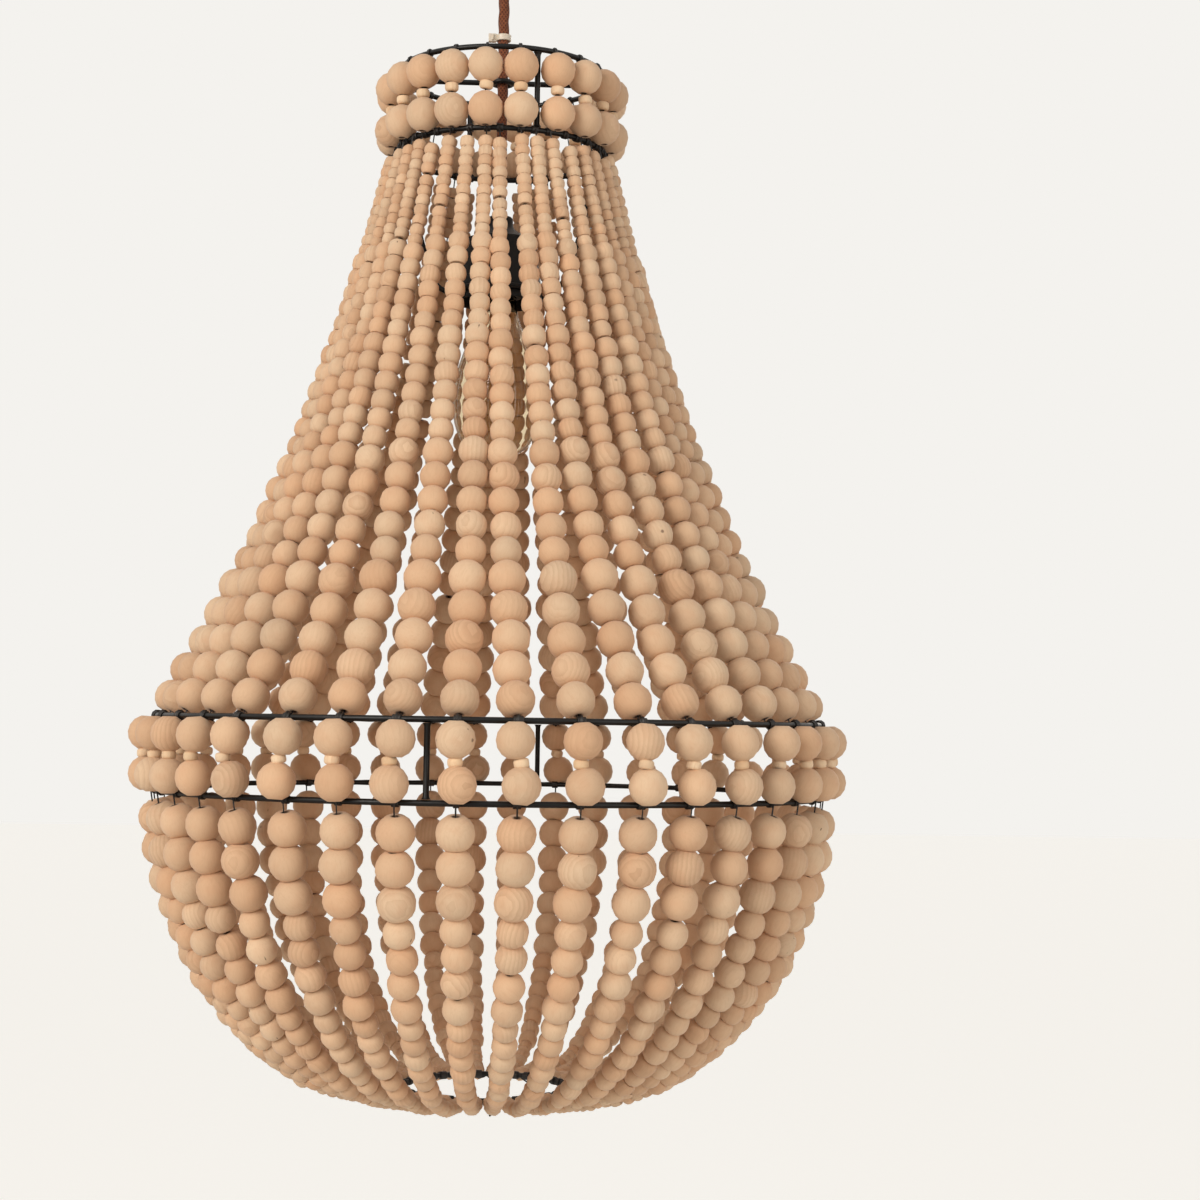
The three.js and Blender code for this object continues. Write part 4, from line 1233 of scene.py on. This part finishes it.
WAIST_SEAT = 0.4 * MM
WAIST_HANG = 1.1 * MM
waist_top = ring_heights["waist_upper_ring"] - WAIST_HANG
waist_bottom = ring_heights["waist_lower_ring"] + WAIST_SEAT
basket = basket_line()
for wire in range(STRAND_WIRES):
    beads, spacers = [], []
    for n in range(wire * WIRE_STRANDS, (wire + 1) * WIRE_STRANDS):
        pair, spacer = column(WAIST_AXIS, strand_angles[n], waist_top, waist_bottom, WAIST_SLACK)
        foot = STRAND_PHASE + n * STRAND_PITCH
        strand = Strand(basket, strand_angles[n], foot, BASKET_SWAY, BASKET_SAG, BASKET_DIP)
        strung = strand.beads(BASKET_RUNS, BASKET_BARE, BASKET_REST, BASKET_NOD)
        beads.extend([*pair, *strung])
        spacers.append(spacer)
        string_paths.append(strand.points[::STRING_POINT_STEP])
    node = f"basket_strands_{wire + 1:02d}"
    string_beads(f"basket_balls_{wire + 1:02d}", beads, wood, node)
    string_beads(f"waist_spacers_{wire + 1:02d}", spacers, pale_wood, node)

# The stringing wire
# Soft black iron wire of 1.1 mm. It shows where a strand is bare, and it is wound round the rings
# wherever strands or columns are tied on, in two layers at the waist's upper ring. Its snipped ends
# stick out under the bottom ring.
WRAP_TURNS = 4
KNOT_TURNS = 5
KNOT_SECOND_TURNS = 2
WRAP_SIDES = 10
WRAP_SPREAD = 0.12
TAIL_DROP = 8 * MM
TAIL_SHORT_SHARES = (0.1, 0.4)
TAIL_SPLAY = 1 / 3
TAIL_SWING = 10


def annealed_wire():
    # Annealed iron wire: dull black scale with a faint brown cast.
    material, _ = mottled("annealed_wire", 3 * MM, 3, "#0a0807", "#1a1310")
    return shaded(material, {"Roughness": 0.5})


for level, ring_radius, axis, top, bottom, angles in (
    ("waist", WAIST_RADIUS, WAIST_AXIS, waist_top, waist_bottom, strand_angles),
    ("crown", CROWN_RADIUS, CROWN_AXIS, crown_top, crown_bottom, crown_angles),
):
    for degrees in angles:
        string_paths.append([
            round_lamp(ring_radius + HOOK_REACH, ring_heights[f"{level}_upper_ring"], degrees),
            round_lamp(axis, top - LARGEST_BEAD.height / 2, degrees),
            round_lamp(axis, bottom + LARGEST_BEAD.height / 2, degrees),
            round_lamp(ring_radius + HOOK_REACH, ring_heights[f"{level}_lower_ring"], degrees),
        ])
for wire in range(STRAND_WIRES):
    for side in (-1 / 2, 1 / 2):
        degrees = STRAND_PHASE + (wire * WIRE_STRANDS + side) * STRAND_PITCH
        height = ring_heights["bottom_ring"] - FRAME_WIRE_RADIUS
        drop = TAIL_DROP * (1 if wire == 0 else dice.uniform(*TAIL_SHORT_SHARES))
        tail_radius = BOTTOM_RADIUS + drop * TAIL_SPLAY
        tail_end = round_lamp(tail_radius, height - drop, degrees - side * TAIL_SWING)
        string_paths.append([round_lamp(BOTTOM_RADIUS, height, degrees), tail_end])
iron = annealed_wire()
strings = wires("stringing_wire", string_paths, STRING_RADIUS, 0)
dress(strings, iron, "shade", "black_wire")


def wrap_model(name, turns, second_turns):
    """A short coil round the frame's wire, with a second layer over its middle."""
    outline = []
    for k in range(2 * turns + 1):
        layers = 2 if abs(k - turns) < second_turns else 1
        groove = 0 if k % 2 else STRING_RADIUS / 2
        radius = FRAME_WIRE_RADIUS + 2 * STRING_RADIUS * layers - groove
        outline.append((radius, (k - turns) * STRING_RADIUS))
    end = turns * STRING_RADIUS
    ends = [(FRAME_WIRE_RADIUS, end), (FRAME_WIRE_RADIUS, -end)]
    return mesh_alone(turned(name, WRAP_SIDES, [ends[1], *outline, *ends]))


short_wrap = wrap_model("short_wrap", WRAP_TURNS // 2, 0)
plain_wrap = wrap_model("plain_wrap", WRAP_TURNS, 0)
knot = wrap_model("knot", KNOT_TURNS, KNOT_SECOND_TURNS)
wrap_points, wrap_faces = [], []
even_angles = [STRAND_PHASE + n * STRAND_PITCH for n in range(STRANDS)]
for node, model, angles in (
    ("crown_upper_ring", short_wrap, crown_angles),
    ("crown_lower_ring", plain_wrap, hook_angles),
    ("waist_upper_ring", knot, strand_angles),
    ("waist_lower_ring", plain_wrap, strand_angles),
    ("bottom_ring", plain_wrap, even_angles),
):
    for degrees in angles:
        along = round_lamp(1, 0, degrees + 90)
        place = Matrix.Translation(round_lamp(RING_RADII[node], ring_heights[node], degrees))
        place = place @ along.to_track_quat("Z", "Y").to_matrix().to_4x4()
        place = place @ Matrix.Diagonal((1, 1, dice.gauss(1, WRAP_SPREAD), 1))
        start = len(wrap_points)
        wrap_points.extend(place @ vertex.co for vertex in model.vertices)
        wrap_faces.extend(tuple(start + i for i in polygon.vertices) for polygon in model.polygons)
dress(from_points("wire_wraps", wrap_points, wrap_faces), iron, "shade", "black_wire")

# The studio
# A pale floor far below the lamp, a pale surround, one large soft lamp to the left of the camera, a
# weaker one to its right, and one behind the lamp.
FLOOR_HEIGHT = -2.1
FLOOR_SIZE = 60
FLOOR_GLOW = 0.55
SURROUND_COLOUR = "#f4f2ee"
SURROUND_LIGHT = 0.5
LAMP_COLOUR = "#fff6ec"
LAMPS = [
    ("key", (-1.9, -2.3, 0.5), 1.6, 62),
    ("fill", (2.2, -2.0, -0.4), 2.0, 22),
    ("back", (0.6, 2.4, 0.4), 1.6, 24),
]


def pale_floor():
    # Matt white paint on a plain floor. The camera sees it a good deal lighter than the lamps make it.
    material = new_material("pale_floor")
    seen = add_node(material, "LightPath")["Is Camera Ray"]
    glow = add_node(material, "Math", {0: seen, 1: FLOOR_GLOW}, operation="MULTIPLY")[0]
    return shaded(material, {
        "Emission Strength": glow, "Emission Color": linear(SURROUND_COLOUR),
        "Base Color": linear("#e9e6e1"), "Roughness": 0.9,
    })


floor = primitive(
    "floor", bpy.ops.mesh.primitive_plane_add, size=FLOOR_SIZE, location=(0, 0, FLOOR_HEIGHT)
)
finish_with(floor, pale_floor())

world = bpy.data.worlds.new("surround")
world.use_nodes = True
bpy.context.scene.world = world
rays = add_node(world, "LightPath")
seen = rays["Is Camera Ray"]
for kind in ("Is Glossy Ray", "Is Transmission Ray"):
    seen = add_node(world, "Math", {0: seen, 1: rays[kind]}, operation="MAXIMUM")[0]
strength = add_node(world, "MapRange", {"Value": seen, "To Min": SURROUND_LIGHT})[0]
fill_in(world.node_tree.nodes["Background"], {"Color": linear(SURROUND_COLOUR), "Strength": strength})

LAMP_AIM = Vector((0, 0, WAIST_TOP))
for name, place, size, power in LAMPS:
    light = bpy.data.lights.new(name, "AREA")
    light.size = size
    light.energy = power
    light.color = linear(LAMP_COLOUR)[:3]
    lamp = in_scene(name, light)
    lamp.location = place
    lamp.visible_transmission = False
    lamp.rotation_euler = (LAMP_AIM - lamp.location).to_track_quat("-Z", "Y").to_euler()
